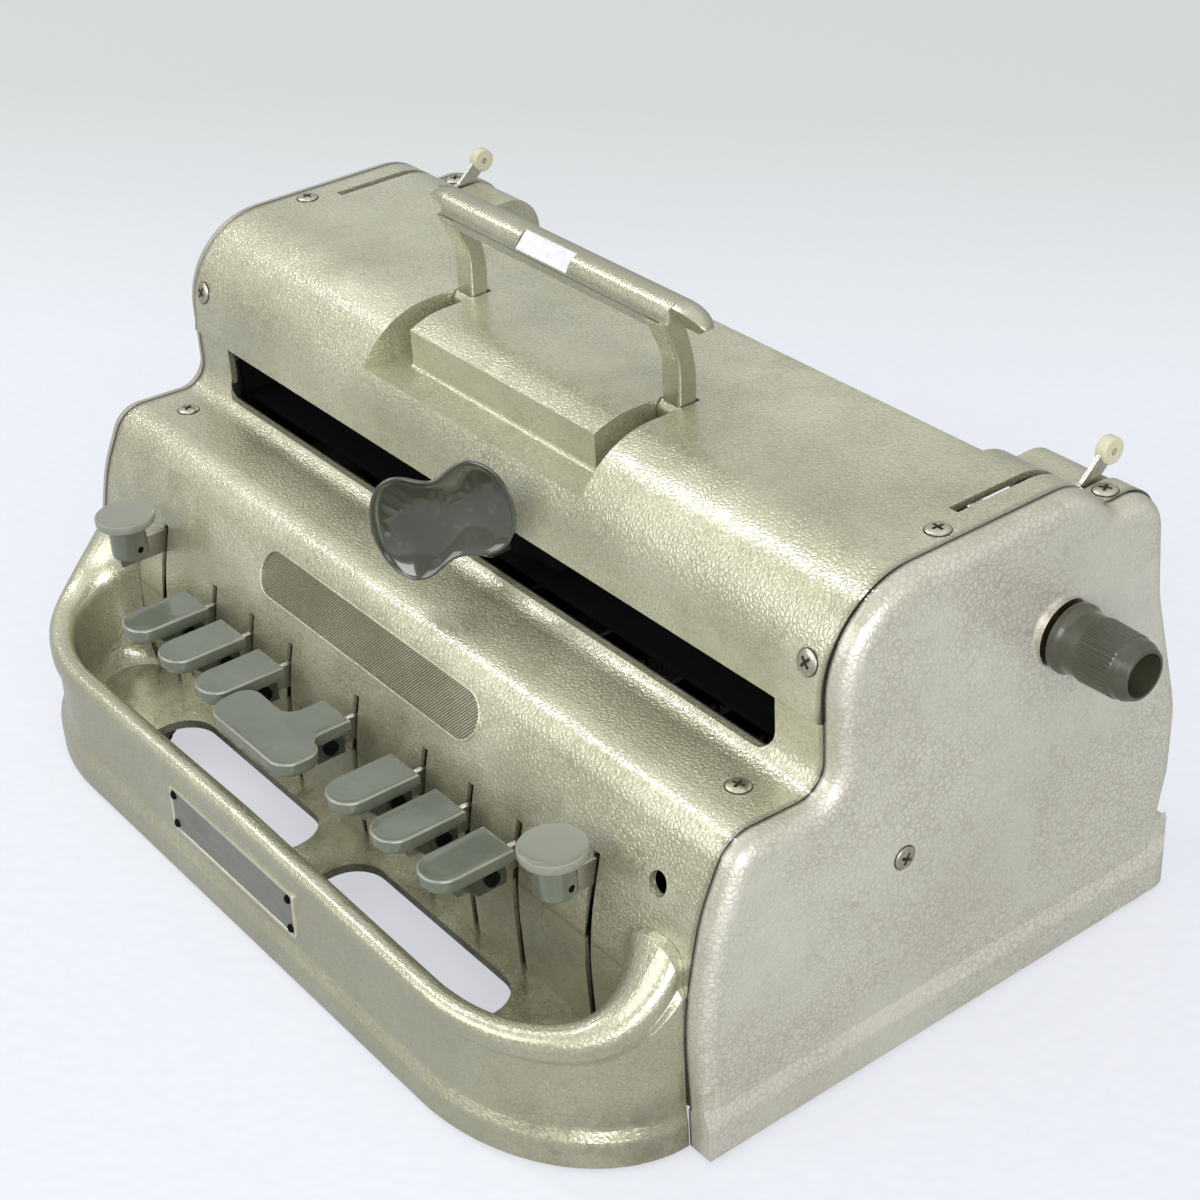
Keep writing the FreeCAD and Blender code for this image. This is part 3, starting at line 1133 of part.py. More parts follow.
# ---------------------------------------------------------------------------- handle
ARM_EDGE_R = 1.0
GRIP_BOTTOM_Z = GRIP_Z - GRIP_SKIRT
NOSE_X = HANDLE_ARM_X + HANDLE_ARM_W / 2      # where the grip's ends start to taper
GRIP_HALF_X = NOSE_X + GRIP_NOSE_L
LABEL_X = (-15.2, 10.2)
LABEL_TURN = 46.5         # degrees from the top of the grip to the middle of the label


def handle_arm(x):
    """Bowed arm from the knuckle at its foot up into the grip."""
    half = HANDLE_ARM_W / 2
    rise = GRIP_Z - HANDLE_Z
    corners = [
        (HANDLE_Y - 2.5, HANDLE_Z - 1.0, 0), (HANDLE_Y - 2.0, HANDLE_Z + rise * 0.59, rise * 0.65),
        (GRIP_Y - GRIP_R - 1.0, GRIP_Z + 0.4, 0), (GRIP_Y + 0.9, GRIP_Z + 0.4, 0),
        (HANDLE_Y + 4.7, HANDLE_Z + rise * 0.51, rise * 1.3), (HANDLE_Y + 3.9, HANDLE_Z - 1.0, 0)]
    arm = slab_x(corners, x - half, x + half)
    sides = [edge for edge in arm.Edges if edge.BoundBox.XLength < 0.01 and edge.BoundBox.ZLength > 1]
    arm = arm.makeFillet(ARM_EDGE_R, sides)
    return arm.fuse(rod_x(x - half, x + half, HANDLE_Y, HANDLE_Z, HANDLE_KNUCKLE_R))


def grip_nose():
    """Tapered end of the grip on the right, hollowed below to lie on the bend of the cover."""
    centre = Vector(NOSE_X, GRIP_Y, GRIP_Z)
    tip = Vector(GRIP_HALF_X, GRIP_Y, GRIP_Z)
    top = centre + Z_AXIS * GRIP_R
    curve = Part.Arc(Part.Ellipse(tip, top, centre), 0, math.pi / 2).toShape()
    sides = [Part.LineSegment(top, centre).toShape(), Part.LineSegment(centre, tip).toShape()]
    nose = Part.Face(Part.Wire([curve] + sides)).revolve(centre, X_AXIS, 360)
    under = [(NOSE_X - 1, GRIP_BOTTOM_Z, 0), (NOSE_X + GRIP_NOSE_L * 0.56, GRIP_BOTTOM_Z, 6),
             (GRIP_HALF_X + 1.5, GRIP_Z + 2.6, 0),
             (GRIP_HALF_X + 1.5, GRIP_Z - 12, 0), (NOSE_X - 1, GRIP_Z - 12, 0)]
    nose = nose.cut(slab_y(under, GRIP_Y - 10, GRIP_Y + 10))
    front = [(GRIP_Y - 3.8, GRIP_Z + 5.0, 0), (GRIP_Y + 1.7, GRIP_Z - 3.6, 0), (GRIP_Y - 16, GRIP_Z - 3.6, 0),
             (GRIP_Y - 16, GRIP_Z + 5.0, 0)]
    return nose.cut(slab_x(front, NOSE_X - 1, GRIP_HALF_X + 1))


def grip():
    """Half-round bar with a flared skirt below a shallow seam, a label seat and two noses."""
    front_y = GRIP_Y - GRIP_R
    corners = [
        (front_y - 0.5, GRIP_BOTTOM_Z, 1.0), (front_y, GRIP_Z + 0.4, 0), (front_y, GRIP_Z + GRIP_R, 5.8),
        (GRIP_Y + GRIP_R, GRIP_Z + GRIP_R, 6.2), (GRIP_Y + GRIP_R, GRIP_BOTTOM_Z, 1.2)]
    bar = slab_x(corners, -NOSE_X, NOSE_X)
    round_x = NOSE_X - 2.5
    corner = box(round_x, NOSE_X + 1, front_y - 2, front_y + 2.5, GRIP_BOTTOM_Z - 1, GRIP_Z + GRIP_R)
    corner = corner.cut(Part.makeCylinder(2.5, 40, Vector(round_x, front_y + 2.5, GRIP_Z - 20)))
    for piece in both_sides(corner):
        bar = bar.cut(piece)
    seam = box(-round_x, round_x, front_y - 2, front_y + 0.35, GRIP_Z + 0.3, GRIP_Z + 0.7)
    label = box(LABEL_X[0], LABEL_X[1], GRIP_Y - 5, GRIP_Y + 5, GRIP_Z + GRIP_R - 1.1, GRIP_Z + 2 * GRIP_R)
    label = turned(label, Vector(0, GRIP_Y, GRIP_Z), X_AXIS, LABEL_TURN)
    return [bar.cut(seam).cut(label)] + both_sides(grip_nose())


def handle():
    """Carrying handle: two bowed arms on knuckles and a grip with overhanging noses."""
    whole = joined([handle_arm(x) for x in handle_pin_xs()] + grip())
    for x in handle_pin_xs():
        whole = whole.cut(rod_x(x - 10, x + 10, HANDLE_Y, HANDLE_Z, HANDLE_PIN_R + FIT))
    return whole


def handle_pins():
    """Pivot pins through the knuckles, seated in the walls of the grooves."""
    return [rod_x(x - PIN_REACH, x + PIN_REACH, HANDLE_Y, HANDLE_Z, HANDLE_PIN_R) for x in handle_pin_xs()]


# ---------------------------------------------------------------------------- screws
def cover_screws():
    screws = []
    for place, out in cover_screw_places():
        for sign in (-1, 1):
            screws.append(pan_screw(Vector(sign * place.x, place.y, place.z), out, COVER_SCREW_L))
    right = pan_screw(SIDE_SCREW, X_AXIS, SIDE_SCREW_L)
    return screws + both_sides(right)


# ----------------------------------------------------------------------------- output
def build():
    side = side_cover()
    plate = frame_plate()
    lever = release_lever()
    tip = release_tip()
    nodes = {
        "base_tray": base_tray(),
        "front_cover": front_cover(),
        "top_cover": top_cover(),
        "rear_cover": rear_cover(),
        "side_cover_left": mirrored(side),
        "side_cover_right": side,
        "nameplate": nameplate(),
        "rubber_feet": rubber_feet(),
        "cover_screws": cover_screws(),
        "handle": handle(),
        "handle_pins": handle_pins(),
        "line_feed_pawl": line_feed_pawl(),
        "key_shaft": across(KEY_SHAFT_Y, KEY_SHAFT_Z, KEY_SHAFT_R),
        "key_rest_bar": key_rest_bar(),
        "key_springs": key_springs(),
        "frame_plate_left": mirrored(plate),
        "frame_plate_right": plate,
        "frame_tie_bars": [across(y, z, TIE_R) for y, z in TIE_BARS],
        "carriage_rails": [across(y, RAIL_Z, RAIL_R) for y in RAIL_Y],
        "carriage_rack": carriage_rack(),
        "carriage": carriage(),
        "embossing_pins": embossing_pins(),
        "carriage_lever": carriage_lever(),
        "paper_table": paper_table(),
        "paper_roller": paper_roller(),
        "roller_shaft": roller_shaft(),
        "roller_ratchet": roller_ratchet(),
        "knob_left": mirrored(knob()),
        "knob_right": knob(),
        "knob_bushes": both_sides(knob_bush()),
        "pressure_rollers": pressure_rollers(),
        "pressure_shaft": rod_x(-FRAME_X, FRAME_X, PRESS_Y, PRESS_Z, PRESS_SHAFT_R),
        "release_lever_left": mirrored(lever),
        "release_lever_right": lever,
        "release_tip_left": mirrored(tip.cut(lever)),
        "release_tip_right": tip.cut(lever),
        "margin_rail": across(MARGIN_RAIL_Y, MARGIN_RAIL_Z, MARGIN_RAIL_R),
        "margin_stop_left": margin_stop(-MARGIN_STOP_X),
        "margin_stop_right": margin_stop(MARGIN_STOP_X),
        "mainspring_drum": mainspring_drum(),
        "bell": bell(),
        "bell_hammer": bell_hammer(),
    }
    for number, x in enumerate(DOT_KEY_XS, 1):
        nodes["dot_key_cap_%d" % number], nodes["dot_key_lever_%d" % number] = dot_key(x)
    nodes["space_key_cap"], nodes["space_key_lever"] = space_key()
    nodes["line_key_cap"], nodes["line_key_lever"] = round_key(-ROUND_KEY_X)
    nodes["backspace_key_cap"], nodes["backspace_key_lever"] = round_key(ROUND_KEY_X)
    return nodes


def write(nodes):
    os.makedirs("parts", exist_ok=True)
    for name, shape in nodes.items():
        solids = []
        for piece in shape if isinstance(shape, list) else [shape]:
            solids += piece.Solids
        whole = solids[0] if len(solids) == 1 else Part.makeCompound(solids)
        whole.exportStep("parts/%s.step" % name)


write(build())
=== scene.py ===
"""Manual braille writer: finishes, fine pieces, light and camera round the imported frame."""
import json
import math

import bpy
from mathutils import Matrix, Vector


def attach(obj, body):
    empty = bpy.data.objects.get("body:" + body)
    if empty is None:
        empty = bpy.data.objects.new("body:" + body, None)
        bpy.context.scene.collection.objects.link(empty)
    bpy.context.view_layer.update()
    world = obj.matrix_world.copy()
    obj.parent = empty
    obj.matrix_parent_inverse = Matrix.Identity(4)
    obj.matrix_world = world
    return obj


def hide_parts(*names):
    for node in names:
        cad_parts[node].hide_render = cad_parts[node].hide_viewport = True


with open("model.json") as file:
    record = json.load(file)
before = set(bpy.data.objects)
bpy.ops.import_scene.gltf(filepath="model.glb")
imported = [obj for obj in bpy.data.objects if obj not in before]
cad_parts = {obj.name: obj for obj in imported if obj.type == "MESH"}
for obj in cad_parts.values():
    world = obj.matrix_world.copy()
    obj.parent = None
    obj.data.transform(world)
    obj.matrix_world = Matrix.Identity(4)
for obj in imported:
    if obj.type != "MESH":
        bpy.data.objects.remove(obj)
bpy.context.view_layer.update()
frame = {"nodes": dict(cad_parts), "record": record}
nodes = frame["nodes"]
bpy.ops.object.select_all(action="DESELECT")

MM = 0.001
SEAM_X = 160.7            # half width of the covers, where the side covers start
PANEL_Y = -69.0           # front panel at the tray
PANEL_LEAN = 0.22         # how far the panel goes back for each step up, beside the lever slots
EAR_Y = -20.8             # front cover's upright ends beside the paper slot
JOINT_Z = 117.6           # joint of those ends and the top cover
SLOT_HALF_X = 141.5       # half length of the paper slot
COAT_RELIEF = 0.3         # share of a finish's relief that its clear coat follows


# ---------------------------------------------------------------- finishes
def new_node(tree, kind, **settings):
    """A shader node, with its sockets and settings given by name."""
    node = tree.nodes.new(kind)
    for key, value in settings.items():
        if key in node.inputs:
            node.inputs[key].default_value = value
        else:
            setattr(node, key, value)
    return node


class Finish:
    """One material and its node tree, with short ways to add and join nodes."""

    def __init__(self, name, colour, metallic, roughness):
        self.material = bpy.data.materials.new(name)
        self.material.use_nodes = True
        self.tree = self.material.node_tree
        self.skin = self.tree.nodes["Principled BSDF"]
        self.skin.inputs["Base Color"].default_value = (*colour, 1.0)
        self.skin.inputs["Metallic"].default_value = metallic
        self.skin.inputs["Roughness"].default_value = roughness
        self.place = self.add("ShaderNodeTexCoord").outputs["Object"]

    def add(self, kind, **settings):
        return new_node(self.tree, kind, **settings)

    def join(self, output, target):
        self.tree.links.new(output, target)

    def noise(self, scale, detail, roughness=0.5, distortion=0.0, vector=None):
        node = self.add("ShaderNodeTexNoise", Scale=scale, Detail=detail, Roughness=roughness,
                        Distortion=distortion)
        self.join(vector or self.place, node.inputs["Vector"])
        return node.outputs["Fac"]

    def cells(self, scale, feature="F1", vector=None):
        node = self.add("ShaderNodeTexVoronoi", feature=feature, Scale=scale)
        self.join(vector or self.place, node.inputs["Vector"])
        return node.outputs["Distance"]

    def stretched(self, scale=(1, 1, 1), shift=(0, 0, 0)):
        """Place, stretched or moved, so that a pattern runs long one way or falls elsewhere."""
        node = self.add("ShaderNodeMapping", Scale=scale, Location=shift)
        self.join(self.place, node.inputs["Vector"])
        return node.outputs["Vector"]

    def wavering(self, scale, reach):
        """Place, pushed about by a slow noise, so that cells lose their straight sides."""
        slow = self.add("ShaderNodeTexNoise", Scale=scale, Detail=2.0)
        self.join(self.place, slow.inputs["Vector"])
        push = self.add("ShaderNodeVectorMath", operation="MULTIPLY_ADD")
        self.join(slow.outputs["Color"], push.inputs[0])
        push.inputs[1].default_value = (reach, reach, reach)
        self.join(self.place, push.inputs[2])
        return push.outputs[0]

    def graded(self, value, low, high, start=0.0, end=1.0):
        """Maps start..end of a value to low..high."""
        node = self.add("ShaderNodeMapRange")
        node.inputs["From Min"].default_value = start
        node.inputs["From Max"].default_value = end
        node.inputs["To Min"].default_value = low
        node.inputs["To Max"].default_value = high
        self.join(value, node.inputs["Value"])
        return node.outputs["Result"]

    def sum_of(self, first, second, share):
        """second * share + first."""
        node = self.add("ShaderNodeMath", operation="MULTIPLY_ADD")
        self.join(second, node.inputs[0])
        node.inputs[1].default_value = share
        self.join(first, node.inputs[2])
        return node.outputs[0]

    def product(self, first, *others):
        """Shares multiplied, so 1 only where each of them is 1."""
        for other in others:
            node = self.add("ShaderNodeMath", operation="MULTIPLY")
            self.join(first, node.inputs[0])
            self.join(other, node.inputs[1])
            first = node.outputs[0]
        return first

    def blend(self, share, under, over):
        """Mixes two by share. Each of the two is a colour or a socket."""
        node = self.add("ShaderNodeMix", data_type="RGBA")
        self.join(share, node.inputs[0])
        for value, socket in ((under, node.inputs[6]), (over, node.inputs[7])):
            if isinstance(value, tuple):
                socket.default_value = (*value, 1.0)
            else:
                self.join(value, socket)
        return node.outputs[2]

    def colour(self, output):
        self.join(output, self.skin.inputs["Base Color"])

    def roughness(self, output):
        self.join(output, self.skin.inputs["Roughness"])

    def relief(self, height, distance, strength=1.0):
        """Bumps the finish by distance, and the clear coat over it by a share of that."""
        for socket, reach in (("Normal", distance), ("Coat Normal", distance * COAT_RELIEF)):
            node = self.add("ShaderNodeBump", Strength=strength, Distance=reach)
            self.join(height, node.inputs["Height"])
            self.join(node.outputs["Normal"], self.skin.inputs[socket])

    def beyond(self, axis, start, end):
        """0 at start and 1 at end along x, y, z or |x| of the machine, in millimetres."""
        parts = self.add("ShaderNodeSeparateXYZ")
        self.join(self.place, parts.inputs[0])
        value = parts.outputs["XYZ".index(axis.upper()[-1])]
        if axis[0] == "|":
            size = self.add("ShaderNodeMath", operation="ABSOLUTE")
            self.join(value, size.inputs[0])
            value = size.outputs[0]
        return self.graded(value, 0.0, 1.0, start * MM, end * MM)

    def tint(self, share, colour):
        """Lays one colour over the finish where share is 1: dirt, dust and wear, and also painted shade and
        painted highlight.
        """
        under = self.skin.inputs["Base Color"].links[0].from_socket
        self.colour(self.blend(share, under, colour))


def hammered_paint(name, light, dark, grime, cell, relief, metallic, roughness, gloss=0.9, soil=0.38):
    """Hammer-finish enamel: small raised pans with soiled seams between them, under a clear gloss.

    cell counts the pans along a metre, gloss is the weight of the clear coat, and soil is how much
    grime a worn seam holds.
    """
    made = Finish(name, light, metallic, roughness)
    made.skin.inputs["Coat Weight"].default_value = gloss
    made.skin.inputs["Coat Roughness"].default_value = 0.07
    made.skin.inputs["Coat IOR"].default_value = 1.7
    place = made.wavering(cell * 0.30, 1.6 / cell)
    seams = made.cells(cell, "DISTANCE_TO_EDGE", place)
    pans = made.graded(seams, 0.0, 1.0, 0.0, 0.26)
    peel = made.noise(cell * 1.7, 3.0, 0.60)
    mottle = made.noise(16.0, 5.0, 0.62)
    patches = made.noise(38.0, 7.0, 0.68, 0.5)
    specks = made.noise(380.0, 3.0, 0.7)
    worn = made.noise(24.0, 4.0, 0.65, 0.3, made.stretched(shift=(0.13, 0.31, 0.07)))
    base = made.blend(made.graded(mottle, 0.0, 1.0, 0.36, 0.68), light, dark)
    base = made.blend(made.graded(peel, 0.45, 0.0, 0.36, 0.56), base, dark)
    in_seams = made.graded(seams, soil, 0.0, 0.0, 0.15)
    soiled = made.product(in_seams, made.graded(worn, 0.1, 1.0, 0.38, 0.56))
    base = made.blend(soiled, base, grime)
    base = made.blend(made.graded(patches, 0.0, 0.28, 0.60, 0.80), base, grime)
    base = made.blend(made.graded(specks, 0.0, 0.7, 0.73, 0.77), base, grime)
    made.colour(base)
    made.roughness(made.graded(peel, roughness - 0.05, roughness + 0.10, 0.35, 0.65))
    made.relief(made.sum_of(peel, pans, 0.7), relief)
    return made


BODY_LOOK = dict(light=(0.62, 0.615, 0.455), dark=(0.41, 0.405, 0.275), grime=(0.14, 0.12, 0.065),
                 cell=660.0, relief=0.00013, metallic=0.60, roughness=0.32)
SLOT_SHADE = (0.008, 0.008, 0.007)
body_paint = hammered_paint("hammered body enamel", **BODY_LOOK)
cover_paint = hammered_paint("hammered cover enamel", **BODY_LOOK)
tray_paint = hammered_paint(
    "hammered tray enamel", light=(0.55, 0.545, 0.405), dark=(0.385, 0.38, 0.26), grime=(0.12, 0.10, 0.052),
    cell=620.0, relief=0.00007, metallic=0.66, roughness=0.30, soil=0.22)
side_paint = hammered_paint(
    "hammered side enamel", light=(0.67, 0.655, 0.575), dark=(0.56, 0.545, 0.46), grime=(0.27, 0.225, 0.16),
    cell=540.0, relief=0.00011, metallic=0.42, roughness=0.38, gloss=0.7, soil=0.42)
handle_paint = hammered_paint(
    "smooth handle enamel", light=(0.47, 0.465, 0.35), dark=(0.34, 0.335, 0.24), grime=(0.16, 0.14, 0.09),
    cell=800.0, relief=0.00004, metallic=0.78, roughness=0.30, gloss=0.6, soil=0.15)


def soil_and_shade_covers(made):
    """Dirt in the seams, painted shade at the gap of each seam, in the lever slots and in the paper slot, and
    stains down the front panel.
    """
    made.tint(made.beyond("|x", SEAM_X - 2.6, SEAM_X + 0.6), (0.07, 0.062, 0.04))
    # Painted shade: a near-black line on the cover's edge at the gap to the side cover.
    made.tint(made.beyond("|x", SEAM_X - 0.5, SEAM_X - 0.2), (0.012, 0.011, 0.009))

    # painted shade on the walls of the lever slots, just behind the face of the panel: leaning above, upright
    # at its foot
    spot = made.add("ShaderNodeSeparateXYZ")
    made.join(made.place, spot.inputs[0])
    depth = made.sum_of(spot.outputs["Y"], spot.outputs["Z"], -PANEL_LEAN)
    behind_face = made.graded(depth, 0.0, 1.0, -79.9 * MM, -79.3 * MM)
    on_panel = made.beyond("y", -50.0, -52.0)
    slot_height = made.product(made.beyond("z", 46.0, 47.0), made.beyond("z", 72.0, 71.5))
    made.tint(made.product(behind_face, slot_height, on_panel), SLOT_SHADE)
    behind_foot = made.beyond("y", PANEL_Y + 0.4, PANEL_Y + 0.9)
    made.tint(made.product(behind_foot, made.beyond("z", 50.0, 49.0), on_panel), SLOT_SHADE)

    # Painted shade inside the paper slot: near-black on the faces behind its front edge, below the top cover.
    inside = made.product(made.beyond("y", EAR_Y - 0.95, EAR_Y - 0.5), made.beyond("y", 60.0, 58.0))
    inside = made.product(inside, made.beyond("|x", SLOT_HALF_X + 0.1, SLOT_HALF_X - 0.2))
    inside = made.product(inside, made.beyond("z", JOINT_Z - 0.2, JOINT_Z - 0.4))
    made.tint(inside, (0.010, 0.010, 0.009))
    stains = made.graded(made.noise(20.0, 6.0, 0.66, 0.8), 0.0, 0.55, 0.45, 0.68)
    made.tint(made.product(stains, made.beyond("y", -46.0, -60.0)), (0.25, 0.235, 0.13))
    above_ends = made.beyond("z", JOINT_Z - 0.5, JOINT_Z - 0.1)
    joint = made.product(above_ends, made.beyond("z", JOINT_Z + 0.7, JOINT_Z + 0.4))
    made.tint(made.product(joint, made.beyond("y", -14.0, -16.0)), (0.03, 0.027, 0.018))


def soil_and_shade_tray(made):
    """Grime on the floor of the tray, paint paler in patches down its front, painted shade behind the panel.
    """
    grimy = made.noise(70.0, 8.0, 0.72, 0.6)
    on_floor = made.product(made.beyond("y", -112.0, -104.0), made.beyond("z", 26.0, 15.5))
    made.tint(made.product(on_floor, made.graded(grimy, 0.0, 0.62, 0.42, 0.66)), (0.12, 0.10, 0.055))
    # Paler in patches down the front wall of the tray.
    paler_front = made.product(made.beyond("y", -109.5, -113.0), made.beyond("z", 47.0, 40.0))
    made.tint(made.product(paler_front, made.graded(grimy, 0.35, 0.75, 0.35, 0.65)), (0.36, 0.355, 0.25))
    # Painted shade: the tray near-black behind the front panel, inside the machine.
    made.tint(made.beyond("y", PANEL_Y + 3.0, PANEL_Y + 8.0), (0.012, 0.012, 0.011))


def soil_and_shade_sides(made):
    """Painted shade in patches on the shoulders of the side covers, and dirt in their seams."""
    # Painted shade in patches on a band of each shoulder.
    shoulder = made.beyond("|x", SEAM_X + 5.8, SEAM_X + 3.6)
    shoulder_shade = made.graded(made.noise(30.0, 4.0, 0.6), 0.25, 0.62, 0.35, 0.65)
    made.tint(made.product(shoulder, shoulder_shade), (0.30, 0.275, 0.20))
    made.tint(made.beyond("|x", SEAM_X + 1.2, SEAM_X + 0.2), (0.06, 0.052, 0.035))


soil_and_shade_covers(cover_paint)
soil_and_shade_tray(tray_paint)
soil_and_shade_sides(side_paint)


def moulded_plastic(name, light, dark, roughness, relief=0.00008, gloss=0.0):
    """Moulded plastic with a faint cloudiness, a fine skin and dust in patches."""
    made = Finish(name, light, 0.0, roughness)
    made.skin.inputs["Coat Weight"].default_value = gloss
    made.skin.inputs["Coat Roughness"].default_value = 0.06
    cloud = made.noise(60.0, 4.0, 0.6)
    dust = made.noise(260.0, 5.0, 0.7)
    base = made.blend(made.graded(cloud, 0.0, 1.0, 0.35, 0.7), light, dark)
    base = made.blend(made.graded(dust, 0.0, 0.14, 0.58, 0.78), base, (0.42, 0.41, 0.34))
    made.colour(base)
    made.roughness(made.graded(cloud, roughness - 0.05, roughness + 0.10, 0.3, 0.7))
    made.relief(made.noise(1500.0, 3.0), relief)
    return made


key_plastic = moulded_plastic(
    "grey-green key plastic", (0.125, 0.142, 0.108), (0.092, 0.107, 0.080), 0.22, 0.00003, 1.0)
# Painted shade: the webs under the pads darker.
key_plastic.tint(key_plastic.beyond("z", 59.4, 58.8), (0.040, 0.043, 0.034))   # webs under the pads
# Painted highlight: the tops of the round caps lighter.
key_plastic.tint(key_plastic.beyond("z", 79.0, 81.0), (0.215, 0.225, 0.175))   # tops of the round caps
# Painted highlight on the rounded top edges of the caps.
edge_highlight_plastic = moulded_plastic(
    "rubbed key edge", (0.27, 0.285, 0.228), (0.19, 0.205, 0.16), 0.14, 0.00003, 1.0)
lever_plastic = moulded_plastic(
    "dark glossy lever plastic", (0.045, 0.051, 0.036), (0.030, 0.035, 0.024), 0.10, 0.00001, 1.0)
knob_plastic = moulded_plastic(
    "olive-grey knob plastic", (0.060, 0.060, 0.038), (0.043, 0.043, 0.027), 0.26, 0.00004, 0.4)
tip_plastic = moulded_plastic("cream tip plastic", (0.60, 0.58, 0.42), (0.50, 0.47, 0.33), 0.35)
foot_rubber = moulded_plastic("foot rubber", (0.030, 0.030, 0.030), (0.018, 0.018, 0.018), 0.75, 0.0002)
roller_rubber = moulded_plastic("roller rubber", (0.045, 0.045, 0.047), (0.03, 0.03, 0.032), 0.62, 0.0001)


def worked_metal(name, light, dark, roughness, grain=(40, 900, 900), metallic=1.0):
    """Turned or drawn metal: fine lines along its length and faint stains."""
    made = Finish(name, light, metallic, roughness)
    lines = made.noise(1.0, 4.0, 0.6, 0.0, made.stretched(grain))
    stains = made.noise(90.0, 5.0, 0.6)
    base = made.blend(made.graded(lines, 0.0, 0.6, 0.3, 0.7), light, dark)
    base = made.blend(made.graded(stains, 0.0, 0.7, 0.52, 0.75), base, dark)
    made.colour(base)
    made.roughness(made.graded(stains, roughness - 0.06, roughness + 0.14, 0.3, 0.7))
    made.relief(lines, 0.00004)
    return made


bright_steel = worked_metal("drawn steel", (0.66, 0.65, 0.60), (0.44, 0.42, 0.36), 0.28)
lever_steel = worked_metal("oiled lever steel", (0.66, 0.65, 0.60), (0.44, 0.42, 0.36), 0.28)
# Painted shade: the levers near-black behind the front panel, inside the machine.
lever_steel.tint(lever_steel.beyond("y", PANEL_Y - 3.0, PANEL_Y + 6.0), (0.015, 0.015, 0.014))
# Near-black with little gloss: the black screws, and painted shade on the inner parts, the rivets and the pin
# holes.
dark_steel = worked_metal("blackened steel", (0.007, 0.007, 0.007), (0.004, 0.004, 0.004), 0.75, metallic=0.0)
dark_steel.skin.inputs["Specular IOR Level"].default_value = 0.04
screw_nickel = worked_metal("nickelled screw", (0.62, 0.59, 0.49), (0.34, 0.31, 0.23), 0.26, (600, 600, 600))
bush_chrome = worked_metal("chromed bush", (0.78, 0.76, 0.72), (0.55, 0.52, 0.46), 0.14)
bell_brass = worked_metal("bell brass", (0.62, 0.48, 0.22), (0.42, 0.31, 0.14), 0.26)
plate_metal = worked_metal("plate border", (0.66, 0.65, 0.55), (0.50, 0.48, 0.38), 0.34, (60, 700, 700), 0.5)
plate_field = worked_metal(
    "plate field", (0.25, 0.255, 0.235), (0.17, 0.173, 0.155), 0.36, (60, 900, 900), 0.45)

SLOT_FINISHES = {
    "body_paint": body_paint, "side_paint": side_paint, "handle_paint": handle_paint,
    "plate_metal": plate_metal, "foot_rubber": foot_rubber, "screw_nickel": screw_nickel,
    "key_plastic": key_plastic, "dark_plastic": knob_plastic, "bright_steel": bright_steel,
    "dark_steel": dark_steel, "roller_rubber": roller_rubber, "bush_chrome": bush_chrome,
    "tip_plastic": tip_plastic, "bell_brass": bell_brass,
}
# Inner parts take the near-black steel as painted shade, so that the inside seen through the slots stays
# dark.
INNER_STEEL = (
    "paper_table", "carriage_rails", "frame_plate_left", "frame_plate_right", "carriage", "carriage_rack",
    "frame_tie_bars", "key_rest_bar", "key_springs", "key_shaft", "embossing_pins")
OWN_FINISHES = {
    **dict.fromkeys(INNER_STEEL, dark_steel),
    "carriage_lever": lever_plastic, "base_tray": tray_paint,
    "front_cover": cover_paint, "top_cover": cover_paint, "rear_cover": cover_paint,
}
for name in nodes:
    if name.endswith("_key_lever") or "key_lever_" in name:
        OWN_FINISHES[name] = lever_steel

node_slots = {row["node"]: row["material_slot"] for row in frame["record"]["subparts"]}
for name, node in nodes.items():
    finish = OWN_FINISHES.get(name) or SLOT_FINISHES[node_slots[name]]
    node.data.materials.clear()
    node.data.materials.append(finish.material)


# ------------------------------------------------------------- making pieces
def begin(name, primitive, **size):
    """Adds a primitive at its size, alone, ready to be shaped."""
    bpy.ops.object.select_all(action="DESELECT")
    primitive(**size)
    piece = bpy.context.object
    piece.name = name
    return piece


def choose(kind, wanted):
    """In edit mode, selects only the faces, edges or points of the piece that pass a test."""
    piece = bpy.context.object
    bpy.ops.object.mode_set(mode="EDIT")
    bpy.ops.mesh.select_mode(type=kind)
    bpy.ops.mesh.select_all(action="DESELECT")
    bpy.ops.object.mode_set(mode="OBJECT")
    mesh = piece.data
    if kind == "FACE":
        for face in mesh.polygons:
            face.select = wanted(face.center / MM, face.normal)
    elif kind == "EDGE":
        for edge in mesh.edges:
            edge.select = wanted(*(mesh.vertices[end].co / MM for end in edge.vertices))
    else:
        for point in mesh.vertices:
            point.select = wanted(point.co / MM)
    bpy.ops.object.mode_set(mode="EDIT")


def shift(x, y, z):
    bpy.ops.transform.translate(value=(x * MM, y * MM, z * MM))


def pull(x, y, z):
    bpy.ops.mesh.extrude_region_move(TRANSFORM_OT_translate={"value": (x * MM, y * MM, z * MM)})


def squeeze(x, y, z, centre=(0, 0, 0)):
    bpy.ops.transform.resize(value=(x, y, z), center_override=[c * MM for c in centre])


def leave():
    bpy.ops.object.mode_set(mode="OBJECT")


def modify(piece, kind, **settings):
    bpy.ops.object.select_all(action="DESELECT")
    piece.select_set(True)
    bpy.context.view_layer.objects.active = piece
    modifier = piece.modifiers.new(kind.lower(), kind)
    for key, value in settings.items():
        setattr(modifier, key, value)
    bpy.ops.object.modifier_apply(modifier=modifier.name)


